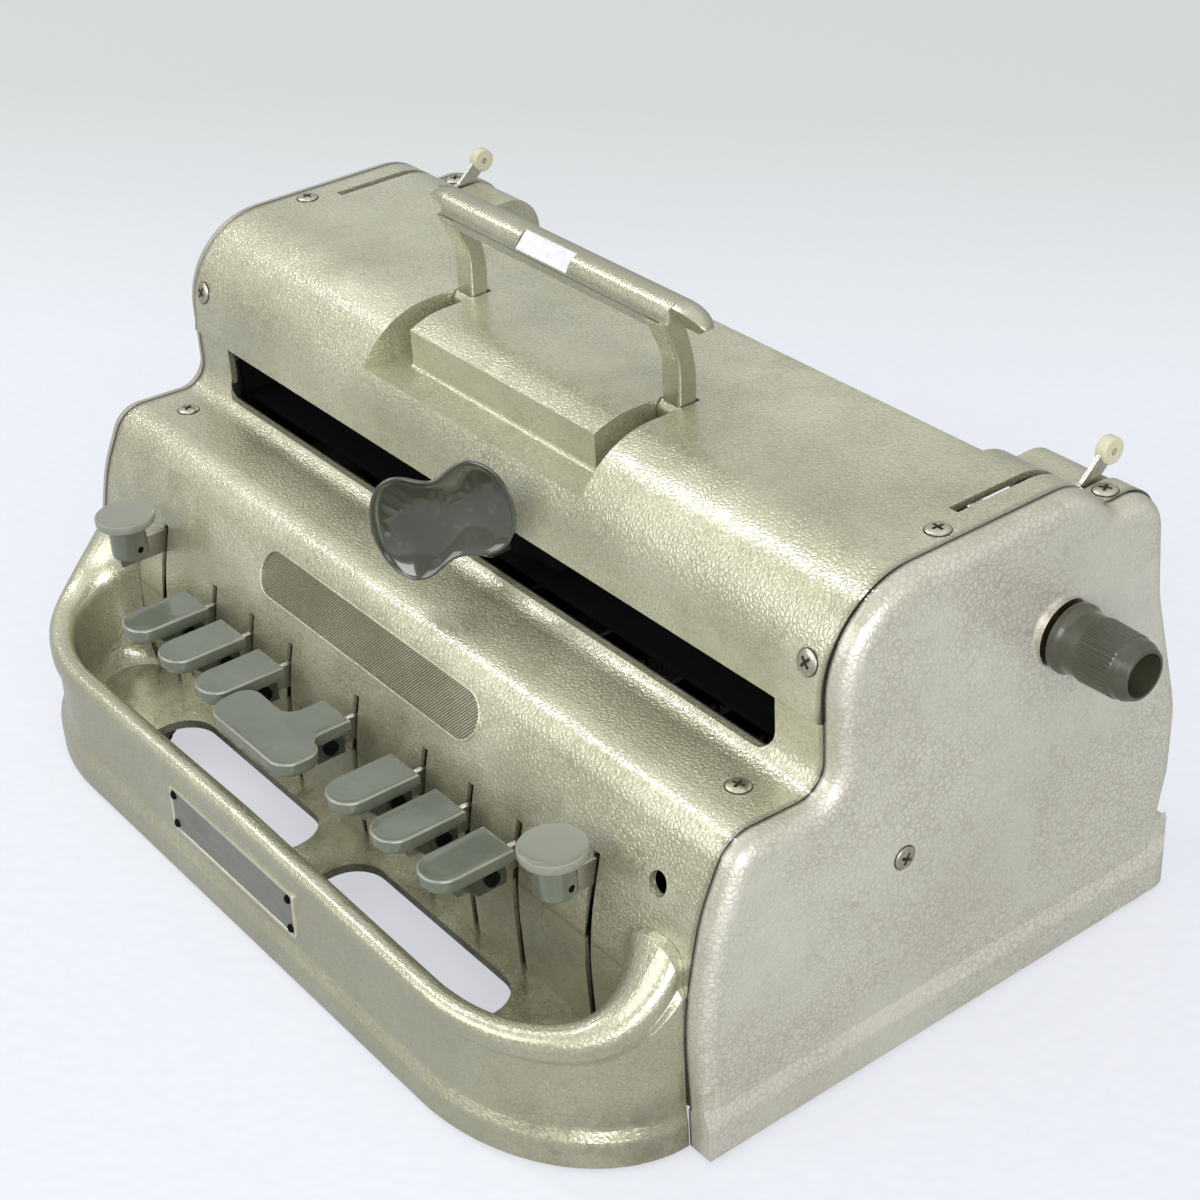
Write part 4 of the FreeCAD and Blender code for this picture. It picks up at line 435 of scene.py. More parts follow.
def settle(piece, finish, body, place=Matrix(), stands_for=(), corner=35):
    """Lays a shaped piece in its place, gives it its finish and the body that it moves with."""
    bpy.ops.object.select_all(action="DESELECT")
    piece.select_set(True)
    bpy.context.view_layer.objects.active = piece
    piece.matrix_world = place @ piece.matrix_world
    bpy.ops.object.transform_apply(location=True, rotation=True, scale=True)
    bpy.ops.object.shade_smooth_by_angle(angle=math.radians(corner))
    piece.data.materials.clear()
    piece.data.materials.append(finish.material)
    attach(piece, body)
    if stands_for:
        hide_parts(*stands_for)
    return piece


def turn(degrees, axis):
    return Matrix.Rotation(math.radians(degrees), 4, axis)


def at(x, y, z):
    return Matrix.Translation(Vector((x, y, z)) * MM)


# ------------------------------------------------------------- finger piece of the carriage
DISH_PLACE = at(18.6, -40.4, 128.1) @ turn(45, "Z") @ turn(-10, "Y")
DISH_EDGE = -2.6
DISH_CAGE = [   # across, depth, up: three rows of five, from the bottom row
    (-17.5, DISH_EDGE, -16.3), (-9.0, DISH_EDGE, -20.5), (1.0, DISH_EDGE, -10.5), (9.5, DISH_EDGE, -14.0),
    (18.8, DISH_EDGE, -11.0),
    (-21.5, DISH_EDGE, -2.4), (-9.0, DISH_EDGE + 6.2, -2.4), (0.5, DISH_EDGE + 0.8, -1.0),
    (9.5, DISH_EDGE + 6.2, 1.2), (21.8, DISH_EDGE, 1.2),
    (-17.5, DISH_EDGE, 11.5), (-9.0, DISH_EDGE, 15.2), (0.3, DISH_EDGE, 8.0), (9.5, DISH_EDGE, 17.8),
    (18.8, DISH_EDGE, 13.2)]


def finger_dish():
    """Two bowls joined by a saddle, with a rolled rim."""
    dish = begin("finger_dish", bpy.ops.mesh.primitive_grid_add, x_subdivisions=4, y_subdivisions=2,
                 size=40 * MM)
    order = sorted(range(len(dish.data.vertices)),
                   key=lambda i: (round(dish.data.vertices[i].co.y, 5), dish.data.vertices[i].co.x))
    for index, (across, depth, up) in zip(order, DISH_CAGE):
        start = dish.data.vertices[index].co / MM
        choose("VERT", lambda point, start=start: (point - start).length < 0.01)
        shift(across - start.x, depth - start.y, up - start.z)
        leave()
    bpy.ops.object.mode_set(mode="EDIT")
    bpy.ops.mesh.select_all(action="SELECT")
    bpy.ops.mesh.region_to_loop()
    bpy.ops.mesh.extrude_edges_move(TRANSFORM_OT_translate={"value": (0, -1.6 * MM, 0)})
    squeeze(1.02, 1.0, 1.03)
    leave()
    modify(dish, "SOLIDIFY", thickness=1.5 * MM, offset=-1.0)
    modify(dish, "SUBSURF", levels=3, render_levels=3)
    return settle(dish, lever_plastic, "carriage_lever", DISH_PLACE, ["carriage_lever"])


def finger_arm():
    """Flat arm from its pivot on the carriage up to the back of the dish."""
    arm = begin("finger_arm", bpy.ops.mesh.primitive_cube_add, size=6 * MM)
    front = -3.0
    for ahead, up in ((-7.0, 0.0), (-5.5, 3.6), (-5.0, 7.0), (-3.5, 6.5)):
        choose("FACE", lambda centre, normal, front=front: centre.y < front + 0.6 and normal.y < -0.5)
        pull(0, ahead, 0)
        shift(0, 0, up)
        leave()
        front += ahead
    choose("FACE", lambda centre, normal: True)
    bpy.ops.mesh.normals_make_consistent(inside=False)
    shift(15.3, -14.6, 108.5)
    bpy.ops.mesh.select_all(action="SELECT")
    facing = DISH_PLACE.to_3x3() @ Vector((0, 1, 0))
    bpy.ops.mesh.bisect(plane_co=DISH_PLACE @ Vector((0, 3.2 * MM, 0)), plane_no=facing, use_fill=True,
                        clear_inner=True)
    leave()
    modify(arm, "BEVEL", width=0.7 * MM, segments=3, limit_method="ANGLE", angle_limit=math.radians(40))
    return settle(arm, lever_plastic, "carriage_lever", stands_for=["carriage_lever"])


finger_dish()
finger_arm()


# ------------------------------------------------------------- ribbed floor of the name recess
RECESS_HALF_X = 59.0
RECESS_HALF_H = 7.4
RECESS_DEPTH = 0.9
RECESS_PLACE = at(0, -61.21, 83.4) @ Matrix((   # on the face of the leaning front panel
    (1, 0, 0, 0), (0, 0.438, -0.899, 0), (0, 0.899, 0.438, 0), (0, 0, 0, 1)))
RIB_PITCH = 1.1
RIB_COUNT = 126
RIB_SLANT = 41            # degrees
RIB_RISE = 0.12           # middle of the ribs above the sunk floor
recess_paint = hammered_paint(
    "recess enamel", light=(0.27, 0.265, 0.18), dark=(0.19, 0.185, 0.12), grime=(0.09, 0.075, 0.042),
    cell=900.0, relief=0.00003, metallic=0.60, roughness=0.34)


def draw_apart():
    """Moves the two halves of a round piece apart, so that it takes the length of the recess."""
    for sign in (-1, 1):
        choose("VERT", lambda point, sign=sign: point.x * sign > 0.01)
        shift(sign * (RECESS_HALF_X - RECESS_HALF_H), 0, 0)
        leave()


def recess_ribs():
    """Fine slanting ribs on the sunk floor, clipped to its rounded ends."""
    rib = begin("recess_ribs", bpy.ops.mesh.primitive_cube_add, size=1 * MM)
    choose("FACE", lambda centre, normal: True)
    squeeze(0.62, 30.0, 0.5)
    leave()
    choose("FACE", lambda centre, normal: normal.z > 0.5)
    squeeze(0.35, 1.0, 1.0)
    leave()
    choose("FACE", lambda centre, normal: True)
    bpy.ops.transform.rotate(value=math.radians(RIB_SLANT), orient_axis="Z", center_override=(0, 0, 0))
    shift(-RECESS_HALF_X - 10, 0, 0)
    leave()
    modify(rib, "ARRAY", count=RIB_COUNT, use_relative_offset=False, use_constant_offset=True,
           constant_offset_displace=(RIB_PITCH * MM, 0, 0))
    outline = begin("recess_outline", bpy.ops.mesh.primitive_cylinder_add, vertices=64,
                    radius=(RECESS_HALF_H - 0.15) * MM, depth=4 * MM)
    draw_apart()
    modify(rib, "BOOLEAN", operation="INTERSECT", object=outline, solver="EXACT")
    bpy.data.objects.remove(outline)
    settle(rib, recess_paint, "machine", RECESS_PLACE @ at(0, 0, RIB_RISE - RECESS_DEPTH),
           corner=25)


def recess_rim():
    """Fine raised bead round the recess."""
    rim = begin("recess_rim", bpy.ops.mesh.primitive_torus_add, major_radius=(RECESS_HALF_H + 0.25) * MM,
                minor_radius=0.34 * MM, major_segments=72, minor_segments=10)
    draw_apart()
    choose("FACE", lambda centre, normal: True)
    squeeze(1.0, 1.0, 0.8)
    leave()
    settle(rim, body_paint, "machine", RECESS_PLACE)


recess_ribs()
recess_rim()


# ------------------------------------------------------------- bare label and bare nameplate
card = Finish("aged label card", (0.70, 0.72, 0.76), 0.0, 0.55)
card_stain = card.graded(card.noise(420.0, 6.0, 0.7), 0.0, 1.0, 0.40, 0.72)
card.colour(card.blend(card_stain, (0.72, 0.74, 0.78), (0.50, 0.52, 0.58)))
card.relief(card.noise(2600.0, 3.0), 0.00002)


def sunk_plate(name, length, height, thick, border, depth, corner):
    """Rounded plate with a raised border round a sunk field."""
    plate = begin(name, bpy.ops.mesh.primitive_cube_add, size=1 * MM)
    choose("FACE", lambda centre, normal: True)
    squeeze(length, height, thick)
    leave()
    choose("EDGE", lambda a, b: abs(a.z - b.z) > thick * 0.9)
    bpy.ops.mesh.bevel(offset=corner * MM, segments=4)
    leave()
    choose("FACE", lambda centre, normal: normal.z > 0.9)
    bpy.ops.mesh.inset(thickness=border * MM)
    bpy.ops.mesh.inset(thickness=depth * 0.5 * MM, depth=-depth * MM)
    leave()
    return plate


LABEL_T = 0.5
GRIP_HALF_T = 5.2         # from the middle of the grip to the face that carries the label
LABEL_PLACE = at(-2.5, 21.1, 181.6) @ turn(46.5, "X") @ at(0, 0, GRIP_HALF_T + LABEL_T / 2)
label = sunk_plate("handle_label", length=24.8, height=6.5, thick=LABEL_T, border=0.35, depth=0.08,
                   corner=0.4)
settle(label, card, "handle", LABEL_PLACE)

PLATE_X = (-40.5, 33.0)
PLATE_Z = (16.9, 33.6)
PLATE_L = PLATE_X[1] - PLATE_X[0]
PLATE_H = PLATE_Z[1] - PLATE_Z[0]
PLATE_T = 0.7
PLATE_LEAN = 1.49         # degrees that the front of the tray leans back
PLATE_PLACE = at(sum(PLATE_X) / 2, -113.52, PLATE_Z[0]) @ turn(90 - PLATE_LEAN, "X") @ at(0, PLATE_H / 2, 0)
RIVET_X = 34.0
RIVET_Z = 5.4
FIELD_AREA = 100.0        # square millimetres that only the sunk field exceeds


def bare_nameplate():
    """Plate with a bright border round a darker field."""
    plate = sunk_plate("bare_nameplate", PLATE_L, PLATE_H, PLATE_T, border=1.0, depth=0.22, corner=2.0)
    settle(plate, plate_metal, "machine", PLATE_PLACE @ at(0, 0, PLATE_T / 2), ["nameplate"])
    plate.data.materials.append(plate_field.material)
    outward = PLATE_PLACE.to_3x3() @ Vector((0, 0, 1))
    for face in plate.data.polygons:
        if face.normal.dot(outward) > 0.99 and face.area > FIELD_AREA * MM * MM:
            face.material_index = 1


def plate_rivet(x, z, number):
    """Domed rivet at one corner of the nameplate."""
    rivet = begin(f"plate_rivet_{number}", bpy.ops.mesh.primitive_cylinder_add, vertices=24, radius=1.4 * MM,
                  depth=1.0 * MM)
    choose("FACE", lambda centre, normal: normal.z > 0.9)
    bpy.ops.mesh.inset(thickness=0.35 * MM)
    shift(0, 0, 0.35)
    bpy.ops.mesh.inset(thickness=0.45 * MM)
    shift(0, 0, 0.18)
    leave()
    # Near-black rivet: painted shade, like the dark holes at the plate's corners.
    settle(rivet, dark_steel, "machine", PLATE_PLACE @ at(x, z, 0.5), ["nameplate"])


bare_nameplate()
for number, (x, z) in enumerate([(x, z) for x in (-RIVET_X, RIVET_X) for z in (-RIVET_Z, RIVET_Z)], 1):
    plate_rivet(x, z, number)


# ------------------------------------------------------------- cover screws
HEAD_R = 3.6
# Dark finish with crumbs: painted shade inside the screws' cross cuts, and the dark rings round them.
screw_dirt_and_shade = Finish("soil round a screw", (0.04, 0.036, 0.025), 0.0, 0.7)
crumbs = screw_dirt_and_shade.noise(900.0, 4.0)
crumb_share = screw_dirt_and_shade.graded(crumbs, 0.0, 1.0, 0.35, 0.65)
screw_dirt_and_shade.colour(screw_dirt_and_shade.blend(crumb_share, (0.03, 0.027, 0.018), (0.075, 0.067, 0.045)))
screw_dirt_and_shade.relief(crumbs, 0.00005)


def cover_screw():
    """Low domed head with a cross cut into it, in a dark ring where it meets the cover."""
    screw = begin("cover_screw", bpy.ops.mesh.primitive_cylinder_add, vertices=48, radius=HEAD_R * MM,
                  depth=0.4 * MM)
    choose("FACE", lambda centre, normal: normal.z > 0.9)
    for ring, rise in ((0.25, 0.22), (0.45, 0.20), (0.7, 0.16), (0.9, 0.07)):
        bpy.ops.mesh.inset(thickness=ring * MM)
        shift(0, 0, rise)
    leave()
    choose("FACE", lambda centre, normal: normal.z < -0.9)
    bpy.ops.mesh.inset(thickness=0.01 * MM)
    pull(0, 0, -0.6)
    leave()
    for degrees in (0, 90):
        cut = begin("cross_cut", bpy.ops.mesh.primitive_cube_add, size=1 * MM)
        choose("FACE", lambda centre, normal: True)
        squeeze(4.7, 1.2, 2.0)
        bpy.ops.transform.rotate(value=math.radians(degrees), orient_axis="Z", center_override=(0, 0, 0))
        shift(0, 0, 1.0)
        leave()
        choose("FACE", lambda centre, normal: normal.z < -0.9)
        squeeze(0.7, 0.7, 1.0)
        leave()
        modify(screw, "BOOLEAN", operation="DIFFERENCE", object=cut, solver="EXACT")
        bpy.data.objects.remove(cut)
    ring = begin("soil_ring", bpy.ops.mesh.primitive_cylinder_add, vertices=48, radius=(HEAD_R + 0.28) * MM,
                 depth=0.16 * MM)
    choose("FACE", lambda centre, normal: normal.z > 0.9)
    bpy.ops.mesh.inset(thickness=0.2 * MM)
    shift(0, 0, -0.05)
    leave()
    return screw, ring


def spread(pattern, name, place, finish, body="machine", stands_for=("cover_screws",)):
    """A copy of a piece with a mesh of its own, laid in its place."""
    copy = pattern.copy()
    copy.data = pattern.data.copy()
    copy.name = name
    bpy.context.scene.collection.objects.link(copy)
    return settle(copy, finish, body, place, stands_for)


def darken_hollow(piece, seat, reach, depth, finish):
    """Second finish, painted shade, on the faces inside a cut: nearer to its axis than reach and lower than
    depth.
    """
    piece.data.materials.append(finish.material)
    back = seat.inverted()
    for face in piece.data.polygons:
        spot = (back @ face.center) / MM
        if spot.xy.length < reach and spot.z < depth - 0.02 * spot.xy.length_squared:
            face.material_index = 1


SCREW_SEATS = [   # place, and the turn from straight up about X and Y
    ((145.3, -37.0, 97.59), turn(-2.07, "X")), ((154.0, -20.43, 133.43), turn(73.3, "X")),
    ((154.4, 24.6, 154.8), Matrix()), ((156.0, 87.3, 143.02), turn(1.18, "X")),
    ((167.3, 2.4, 66.5), turn(90, "Y"))]
SCREW_STEP = 17.0         # degrees that each screw is turned on from the one before


def fit_cover_screws():
    """Five pairs of screws, each with its dark ring; the last pair is on the side covers."""
    screw, ring = cover_screw()
    number = 0
    for (x, y, z), lean in SCREW_SEATS:
        for sign in (1, -1):
            number += 1
            tilt = lean if sign > 0 or x < SEAM_X else turn(-90, "Y")
            seat = at(sign * x, y, z) @ tilt
            turned = seat @ turn(SCREW_STEP * number, "Z") @ at(0, 0, 0.16)
            head = spread(screw, f"cover_screw_{number}", turned, screw_nickel)
            # Painted shade inside the cross cut.
            darken_hollow(head, seat, reach=2.4, depth=0.80, finish=screw_dirt_and_shade)
            spread(ring, f"soil_ring_{number}", seat @ at(0, 0, 0.05), screw_dirt_and_shade)
    bpy.data.objects.remove(screw)
    bpy.data.objects.remove(ring)


fit_cover_screws()


# ------------------------------------------------------------- key caps
CAP_BACK_Y = -73.5
CAP_FRONT_Y = -100.0
CAP_HALF_W = 7.5
KEY_TOP_Z = 64.6
PAD_T = 3.4
LIP_T = 2.0
DOT_KEY_XS = (-84.7, -61.1, -37.7, 37.7, 61.1, 84.7)
SPACE_KEY_X = 0.8
WEB_SIDE_X = 3.2          # from the middle of a key to the head of its web screw


def key_pad(name, corners):
    """Moulded pad of a key: dished top, rounded edges and a narrower lip below.

    corners: x, y and rounding of each corner of the outline, in order.
    """
    pad = begin(name, bpy.ops.mesh.primitive_circle_add, vertices=len(corners), radius=200 * MM,
                fill_type="NGON")
    starts = [point.co / MM for point in pad.data.vertices]
    for start, (x, y, _) in zip(starts, corners):
        choose("VERT", lambda point, start=start: (point - start).length < 0.01)
        shift(x - start.x, y - start.y, 0)
        leave()
    for x, y, radius in [corner for corner in corners if corner[2]]:
        choose("VERT", lambda point, x=x, y=y: abs(point.x - x) + abs(point.y - y) < 0.01)
        bpy.ops.mesh.bevel(offset=radius * MM, segments=9, affect="VERTICES")
        leave()
    choose("FACE", lambda centre, normal: True)
    pull(0, 0, -PAD_T)
    bpy.ops.mesh.select_all(action="SELECT")
    bpy.ops.mesh.normals_make_consistent(inside=False)
    leave()
    choose("FACE", lambda centre, normal: normal.z < -0.9)
    bpy.ops.mesh.inset(thickness=1.0 * MM)
    pull(0, 0, -LIP_T)
    leave()
    choose("EDGE", lambda a, b: abs(a.z) < 0.01 and abs(b.z) < 0.01)
    bpy.ops.mesh.bevel(offset=0.85 * MM, segments=4)
    leave()
    choose("EDGE", lambda a, b: abs(a.z + PAD_T + LIP_T) < 0.01 and abs(b.z + PAD_T + LIP_T) < 0.01)
    bpy.ops.mesh.bevel(offset=0.6 * MM, segments=3)
    leave()
    choose("FACE", lambda centre, normal: normal.z > 0.99 and centre.z > -0.05)
    for step, sink in ((0.35, 0.10), (0.8, 0.14), (1.6, 0.12)):
        bpy.ops.mesh.inset(thickness=step * MM)
        shift(0, 0, -sink)
    leave()
    return pad


def key_web():
    """Tapered web under the rear of a pad, which clasps the lever."""
    web = begin("key_web", bpy.ops.mesh.primitive_cube_add, size=1 * MM)
    choose("FACE", lambda centre, normal: True)
    squeeze(5.2, 19.0, 9.8)
    shift(0, CAP_BACK_Y - 9.5, -PAD_T - LIP_T - 4.6)
    leave()
    choose("VERT", lambda point: point.z < -PAD_T - LIP_T - 5 and point.y < CAP_BACK_Y - 10)
    shift(0, 9.0, 0)
    leave()
    choose("EDGE", lambda a, b: abs(a.x - b.x) < 0.01 and min(a.z, b.z) < -PAD_T - LIP_T - 5)
    bpy.ops.mesh.bevel(offset=0.8 * MM, segments=3)
    leave()
    return web


def web_screw():
    """Cheese head with a slot, at the side of a web."""
    head = begin("web_screw", bpy.ops.mesh.primitive_cylinder_add, vertices=32, radius=2.4 * MM,
                 depth=1.2 * MM)
    choose("FACE", lambda centre, normal: normal.z > 0.9)
    bpy.ops.mesh.inset(thickness=0.3 * MM)
    shift(0, 0, 0.12)
    leave()
    slot = begin("slot_cut", bpy.ops.mesh.primitive_cube_add, size=1 * MM)
    choose("FACE", lambda centre, normal: True)
    squeeze(6.0, 0.7, 1.0)
    shift(0, 0, 0.72)
    leave()
    choose("FACE", lambda centre, normal: normal.z < -0.9)
    squeeze(1.0, 0.8, 1.0)
    leave()
    modify(head, "BOOLEAN", operation="DIFFERENCE", object=slot, solver="EXACT")
    bpy.data.objects.remove(slot)
    return head


def brighten_edge(piece, low, high, finish):
    """Second finish, a painted highlight, on the rounded faces between two heights."""
    piece.data.materials.append(finish.material)
    for face in piece.data.polygons:
        if low * MM < face.center.z < high * MM and 0.30 < face.normal.z < 0.93:
            face.material_index = 1


def whole_cap(name, corners):
    """Pad and web joined in one piece."""
    pad = key_pad(name, corners)
    web = key_web()
    modify(pad, "BOOLEAN", operation="UNION", object=web, solver="EXACT")
    bpy.data.objects.remove(web)
    return pad


def fit_web_screw(head, name, x, degrees, body, node):
    """Lays a copy of the head against the right side of the web of the key at x."""
    seat = at(x + WEB_SIDE_X, CAP_BACK_Y - 5.5, KEY_TOP_Z - 10.2) @ turn(90, "Y")
    spread(head, name, seat @ turn(degrees, "Z"), dark_steel, body, [node])


def dot_key_caps(head):
    """Six caps with round fronts."""
    half, back, front = CAP_HALF_W, CAP_BACK_Y, CAP_FRONT_Y
    pattern = whole_cap("dot_cap", [
        (half, back, 0), (half, front, half - 0.1), (-half, front, half - 0.1), (-half, back, 0)])
    for number, x in enumerate(DOT_KEY_XS, 1):
        body = f"dot_key_{number}"
        node = f"dot_key_cap_{number}"
        place = at(x, 0, KEY_TOP_Z)
        cap = spread(pattern, f"dot_cap_{number}", place, key_plastic, body, [node])
        brighten_edge(cap, KEY_TOP_Z - 1.0, KEY_TOP_Z, edge_highlight_plastic)
        fit_web_screw(head, f"dot_cap_screw_{number}", x, 25 * number, body, node)
    bpy.data.objects.remove(pattern)


def space_key_cap(head):
    """Cap with a narrow back and a broad front, which goes further to the left."""
    half, back, front = CAP_HALF_W, CAP_BACK_Y, CAP_FRONT_Y
    cap = whole_cap("space_cap", [
        (half, back, 0), (half, back - 14, 3.2), (half + 8.5, back - 15, 5.0),
        (half + 8.5, front - 3.5, 7.3), (-28.8, front - 3.5, 7.6), (-29.8, back - 12.5, 6.8),
        (-half - 0.5, back - 13, 4.8), (-half, back, 0)])
    settle(cap, key_plastic, "space_key", at(SPACE_KEY_X, 0, KEY_TOP_Z), ["space_key_cap"])
    brighten_edge(cap, KEY_TOP_Z - 1.0, KEY_TOP_Z, edge_highlight_plastic)
    fit_web_screw(head, "space_cap_screw", SPACE_KEY_X, 70, "space_key", "space_key_cap")


head = web_screw()
dot_key_caps(head)
space_key_cap(head)
bpy.data.objects.remove(head)

ROUND_KEY_X = 118.4
ROUND_Y = -78.7
ROUND_TOP_Z = 84.1
STEM_R = 6.2
STEM_H = 11.0
PIN_HOLE = (1.0, -11.6)   # y and z from the middle of the cap's top
FLARE = ((0.7, 1.03), (0.5, 1.12), (0.25, 1.355))   # rise and spread of each ring, from the stem up
DISC = ((0.5, 1.02), (1.5, 1.0), (0.55, 0.985), (0.25, 0.955), (-0.12, 0.93), (-0.22, 0.75), (-0.14, 0.5))


def round_cap():
    """Mushroom cap: a stem that flares into a thin dished disc, with a pin hole across."""
    cap = begin("round_cap", bpy.ops.mesh.primitive_cylinder_add, vertices=56, radius=STEM_R * MM,
                depth=STEM_H * MM)
    choose("FACE", lambda centre, normal: True)
    shift(0, 0, -9.7)
    leave()
    for rise, reach in FLARE:
        top = max(point.co.z for point in cap.data.vertices) / MM
        choose("FACE", lambda centre, normal, top=top: normal.z > 0.9 and centre.z > top - 0.01)
        pull(0, 0, rise)
        squeeze(reach, reach, 1.0, (0, 0, top))
        leave()
    for rise, reach in DISC:
        choose("FACE", lambda centre, normal: normal.z > 0.9 and centre.xy.length < 0.2)
        pull(0, 0, rise)
        squeeze(reach, reach, 1.0)
        leave()
    choose("EDGE", lambda a, b: max(a.z, b.z) < -15.0)
    bpy.ops.mesh.bevel(offset=0.8 * MM, segments=4)
    leave()
    hole = begin("pin_cut", bpy.ops.mesh.primitive_cylinder_add, vertices=20, radius=1.15 * MM, depth=4 * MM)
    choose("FACE", lambda centre, normal: True)
    bpy.ops.transform.rotate(value=math.radians(90), orient_axis="Y", center_override=(0, 0, 0))
    shift(STEM_R + 1.0, *PIN_HOLE)
    leave()
    modify(cap, "BOOLEAN", operation="DIFFERENCE", object=hole, solver="EXACT")
    bpy.data.objects.remove(hole)
    return cap


def round_key_caps():
    """Line key's cap on the left and backspace key's on the right, with painted shade inside their pin holes.
    """
    pattern = round_cap()
    for sign, name in ((-1, "line_key"), (1, "backspace_key")):
        seat = at(sign * ROUND_KEY_X, ROUND_Y, ROUND_TOP_Z)
        cap = spread(pattern, name + "_round_cap", seat, key_plastic, name, [name + "_cap"])
        brighten_edge(cap, ROUND_TOP_Z - 1.0, ROUND_TOP_Z + 0.2, edge_highlight_plastic)
        # Painted shade: near-black on the faces inside the pin hole.
        cap.data.materials.append(dark_steel.material)
        for face in cap.data.polygons:
            spot = (face.center - seat.translation) / MM
            near_pin = (spot.yz - Vector(PIN_HOLE)).length < 1.3
            if spot.x > 4.0 and near_pin and spot.xy.length < STEM_R - 0.1:
                face.material_index = 2
    bpy.data.objects.remove(pattern)


round_key_caps()


# ------------------------------------------------------------- turned-out edge above the slot
EDGE_H = 5.4


def cover_edge():
    """Lower edge of the top cover, turned out a little over the slot."""
    edge = begin("top_cover_edge", bpy.ops.mesh.primitive_cube_add, size=1 * MM)
    choose("FACE", lambda centre, normal: True)
    squeeze(2 * SEAM_X - 1.0, 1.0, EDGE_H)
    shift(0, EAR_Y - 1.35, JOINT_Z + 0.35 + EDGE_H / 2)
    leave()
    choose("EDGE", lambda a, b: min(a.z, b.z) > 120.0 and max(a.y, b.y) < EAR_Y - 1.2)
    shift(0, 0.92, 0)
    leave()
    choose("EDGE", lambda a, b: max(a.z, b.z) < 119.0 and max(a.y, b.y) < EAR_Y - 1.2)
    bpy.ops.mesh.bevel(offset=0.45 * MM, segments=3)
    leave()
    settle(edge, cover_paint, "machine", corner=50)


cover_edge()


# ------------------------------------------------------------- floor, light, camera
BOARD_LIGHT = (0.80, 0.82, 0.875)
BOARD_DARK = (0.765, 0.785, 0.845)     # between its beads
BOARD_GLOW = (0.84, 0.86, 0.92)
BACKDROP = (0.66, 0.685, 0.68)         # far behind the machine
BOUNCE = (0.40, 0.41, 0.42)            # what the floor gives back to the machine
AWAY = (-0.62, 0.78, 0.0)              # over the floor, from the machine to the backdrop


def lay_floor():
    """Pale beaded board, which shows the camera more light than it gives back."""
    bpy.ops.mesh.primitive_plane_add(size=14, location=(0, 0, 0))
    floor = bpy.context.object
    floor.name = "floor"
    made = Finish("pale floor", (0.80, 0.82, 0.87), 0.0, 0.80)
    beads = made.cells(210.0)
    away = made.add("ShaderNodeVectorMath", operation="DOT_PRODUCT")
    made.join(made.place, away.inputs[0])
    away.inputs[1].default_value = AWAY
    far = made.graded(away.outputs["Value"], 0.0, 1.0, 0.30, 0.62)
    board = made.blend(made.graded(beads, 0.0, 1.0, 0.1, 0.7), BOARD_LIGHT, BOARD_DARK)
    shown = made.add("ShaderNodeLightPath").outputs["Is Camera Ray"]
    made.colour(made.blend(shown, BOUNCE, made.blend(far, board, BACKDROP)))
    made.relief(beads, 0.0004, 0.5)
    glow = made.add("ShaderNodeEmission")
    made.join(made.blend(far, BOARD_GLOW, BACKDROP), glow.inputs["Color"])
    mixed = made.add("ShaderNodeMixShader")
    made.join(made.graded(shown, 0.0, 0.66), mixed.inputs[0])
    made.join(made.skin.outputs[0], mixed.inputs[1])
    made.join(glow.outputs[0], mixed.inputs[2])
    made.join(mixed.outputs[0], made.tree.nodes["Material Output"].inputs["Surface"])
    floor.data.materials.append(made.material)


WALL = (0.46, 0.47, 0.45, 1)
CEILING = (0.93, 0.94, 0.93, 1)
ROOM_LIGHT = (1.0, 1.0, 0.985, 1)
ROOM_LEVEL = 0.66


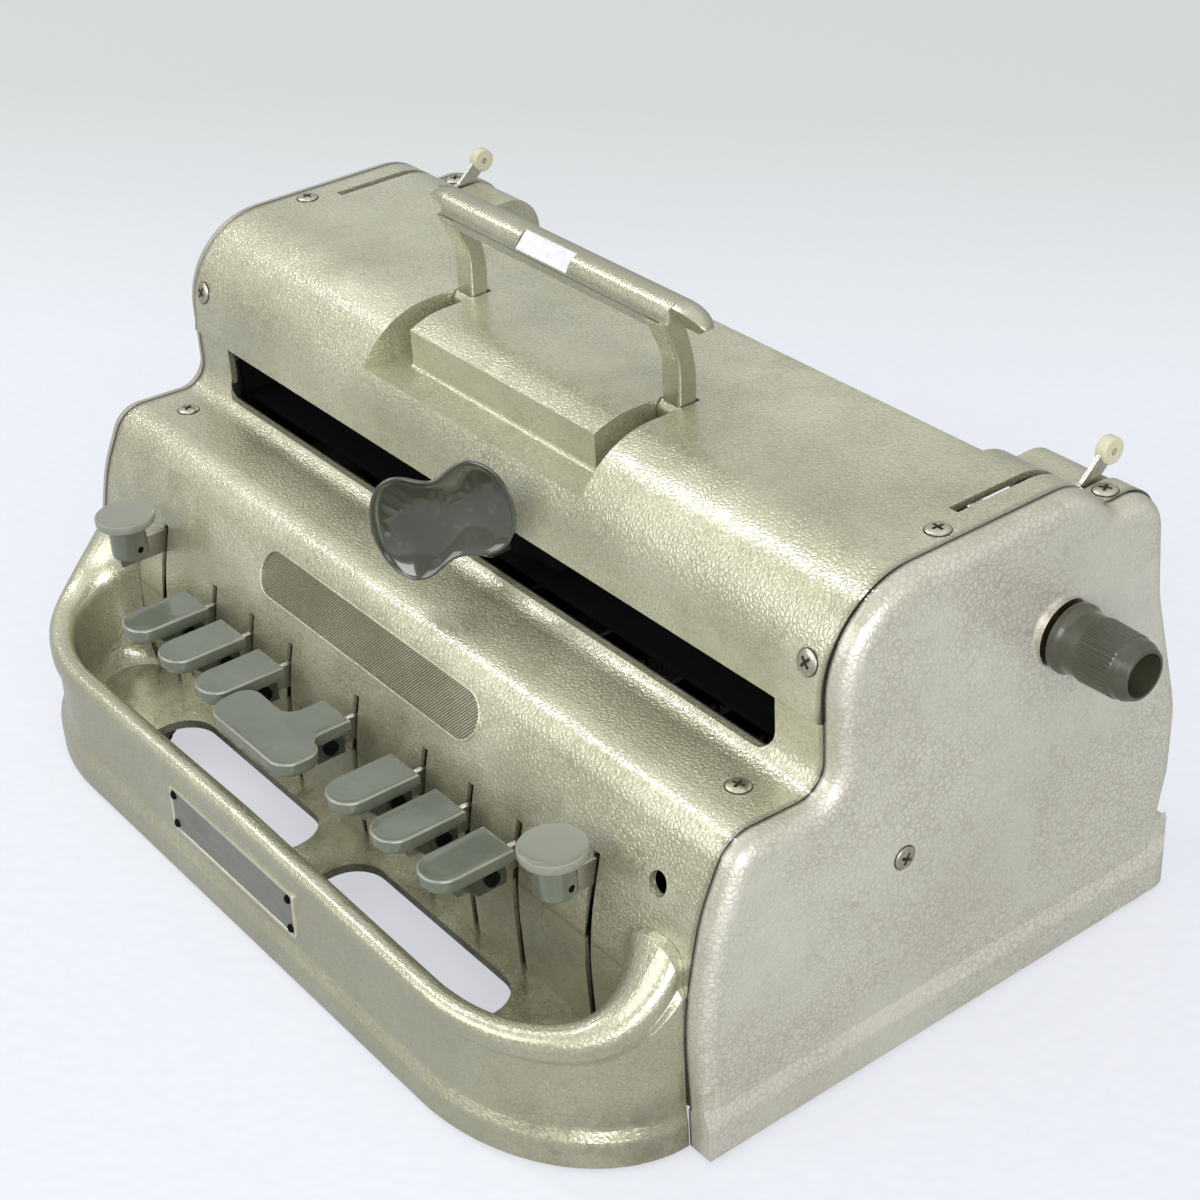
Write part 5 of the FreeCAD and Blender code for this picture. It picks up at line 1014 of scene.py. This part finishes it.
def hang_room():
    """Plain light all round; the camera and the gloss see grey walls and a pale ceiling in its place."""
    world = bpy.data.worlds.new("pale room")
    bpy.context.scene.world = world
    world.use_nodes = True
    tree = world.node_tree
    tree.nodes.clear()
    join = tree.links.new
    way = new_node(tree, "ShaderNodeTexCoord")
    parts = new_node(tree, "ShaderNodeSeparateXYZ")
    join(way.outputs["Generated"], parts.inputs[0])
    rise = new_node(tree, "ShaderNodeMapRange")
    rise.inputs["From Min"].default_value = 0.10
    rise.inputs["From Max"].default_value = 0.80
    join(parts.outputs["Z"], rise.inputs["Value"])
    walls = new_node(tree, "ShaderNodeMix", data_type="RGBA")
    walls.inputs[6].default_value = WALL
    walls.inputs[7].default_value = CEILING
    join(rise.outputs["Result"], walls.inputs[0])
    shown = new_node(tree, "ShaderNodeBackground", Strength=1.0)
    join(walls.outputs[2], shown.inputs["Color"])
    lit = new_node(tree, "ShaderNodeBackground", Color=ROOM_LIGHT, Strength=ROOM_LEVEL)
    rays = new_node(tree, "ShaderNodeLightPath")
    seen = rays.outputs["Is Camera Ray"]
    for kind in ("Is Glossy Ray", "Is Transmission Ray"):
        either = new_node(tree, "ShaderNodeMath", operation="MAXIMUM")
        join(seen, either.inputs[0])
        join(rays.outputs[kind], either.inputs[1])
        seen = either.outputs[0]
    choice = new_node(tree, "ShaderNodeMixShader")
    join(seen, choice.inputs[0])
    join(lit.outputs[0], choice.inputs[1])
    join(shown.outputs[0], choice.inputs[2])
    output = new_node(tree, "ShaderNodeOutputWorld")
    join(choice.outputs[0], output.inputs["Surface"])


def soft_lamp(name, place, aim, size, power):
    """Wide lamp at a place, turned to its aim, with its size in metres and its power in watts."""
    lamp = bpy.data.lights.new(name, "AREA")
    lamp.shape = "RECTANGLE"
    lamp.size, lamp.size_y = size
    lamp.energy = power
    holder = bpy.data.objects.new(name, lamp)
    bpy.context.scene.collection.objects.link(holder)
    holder.location = place
    holder.rotation_euler = (Vector(aim) - Vector(place)).to_track_quat("-Z", "Y").to_euler()


lay_floor()
hang_room()
soft_lamp("window", (-1.30, -0.40, 1.70), (0, 0, 0.08), (0.15, 0.85), 7.5)
soft_lamp("front", (-0.5, -1.8, 1.15), (0, 0, 0.08), (1.8, 1.1), 16)
soft_lamp("ceiling", (0.1, 0.2, 2.2), (0, 0, 0.05), (2.4, 2.0), 4.5)
soft_lamp("fill", (1.6, -0.9, 0.8), (0, 0, 0.08), (1.4, 1.2), 27)

eye = bpy.data.cameras.new("eye")
eye.lens = 72.03
eye.sensor_width = 36.0
eye.clip_start = 0.01
stand = bpy.data.objects.new("eye", eye)
bpy.context.scene.collection.objects.link(stand)
stand.location = (0.53461, -0.36139, 0.47287)
stand.rotation_euler = [math.radians(a) for a in (57.997, 2.839, 52.189)]
bpy.context.scene.camera = stand
bpy.context.scene.view_settings.view_transform = "Standard"
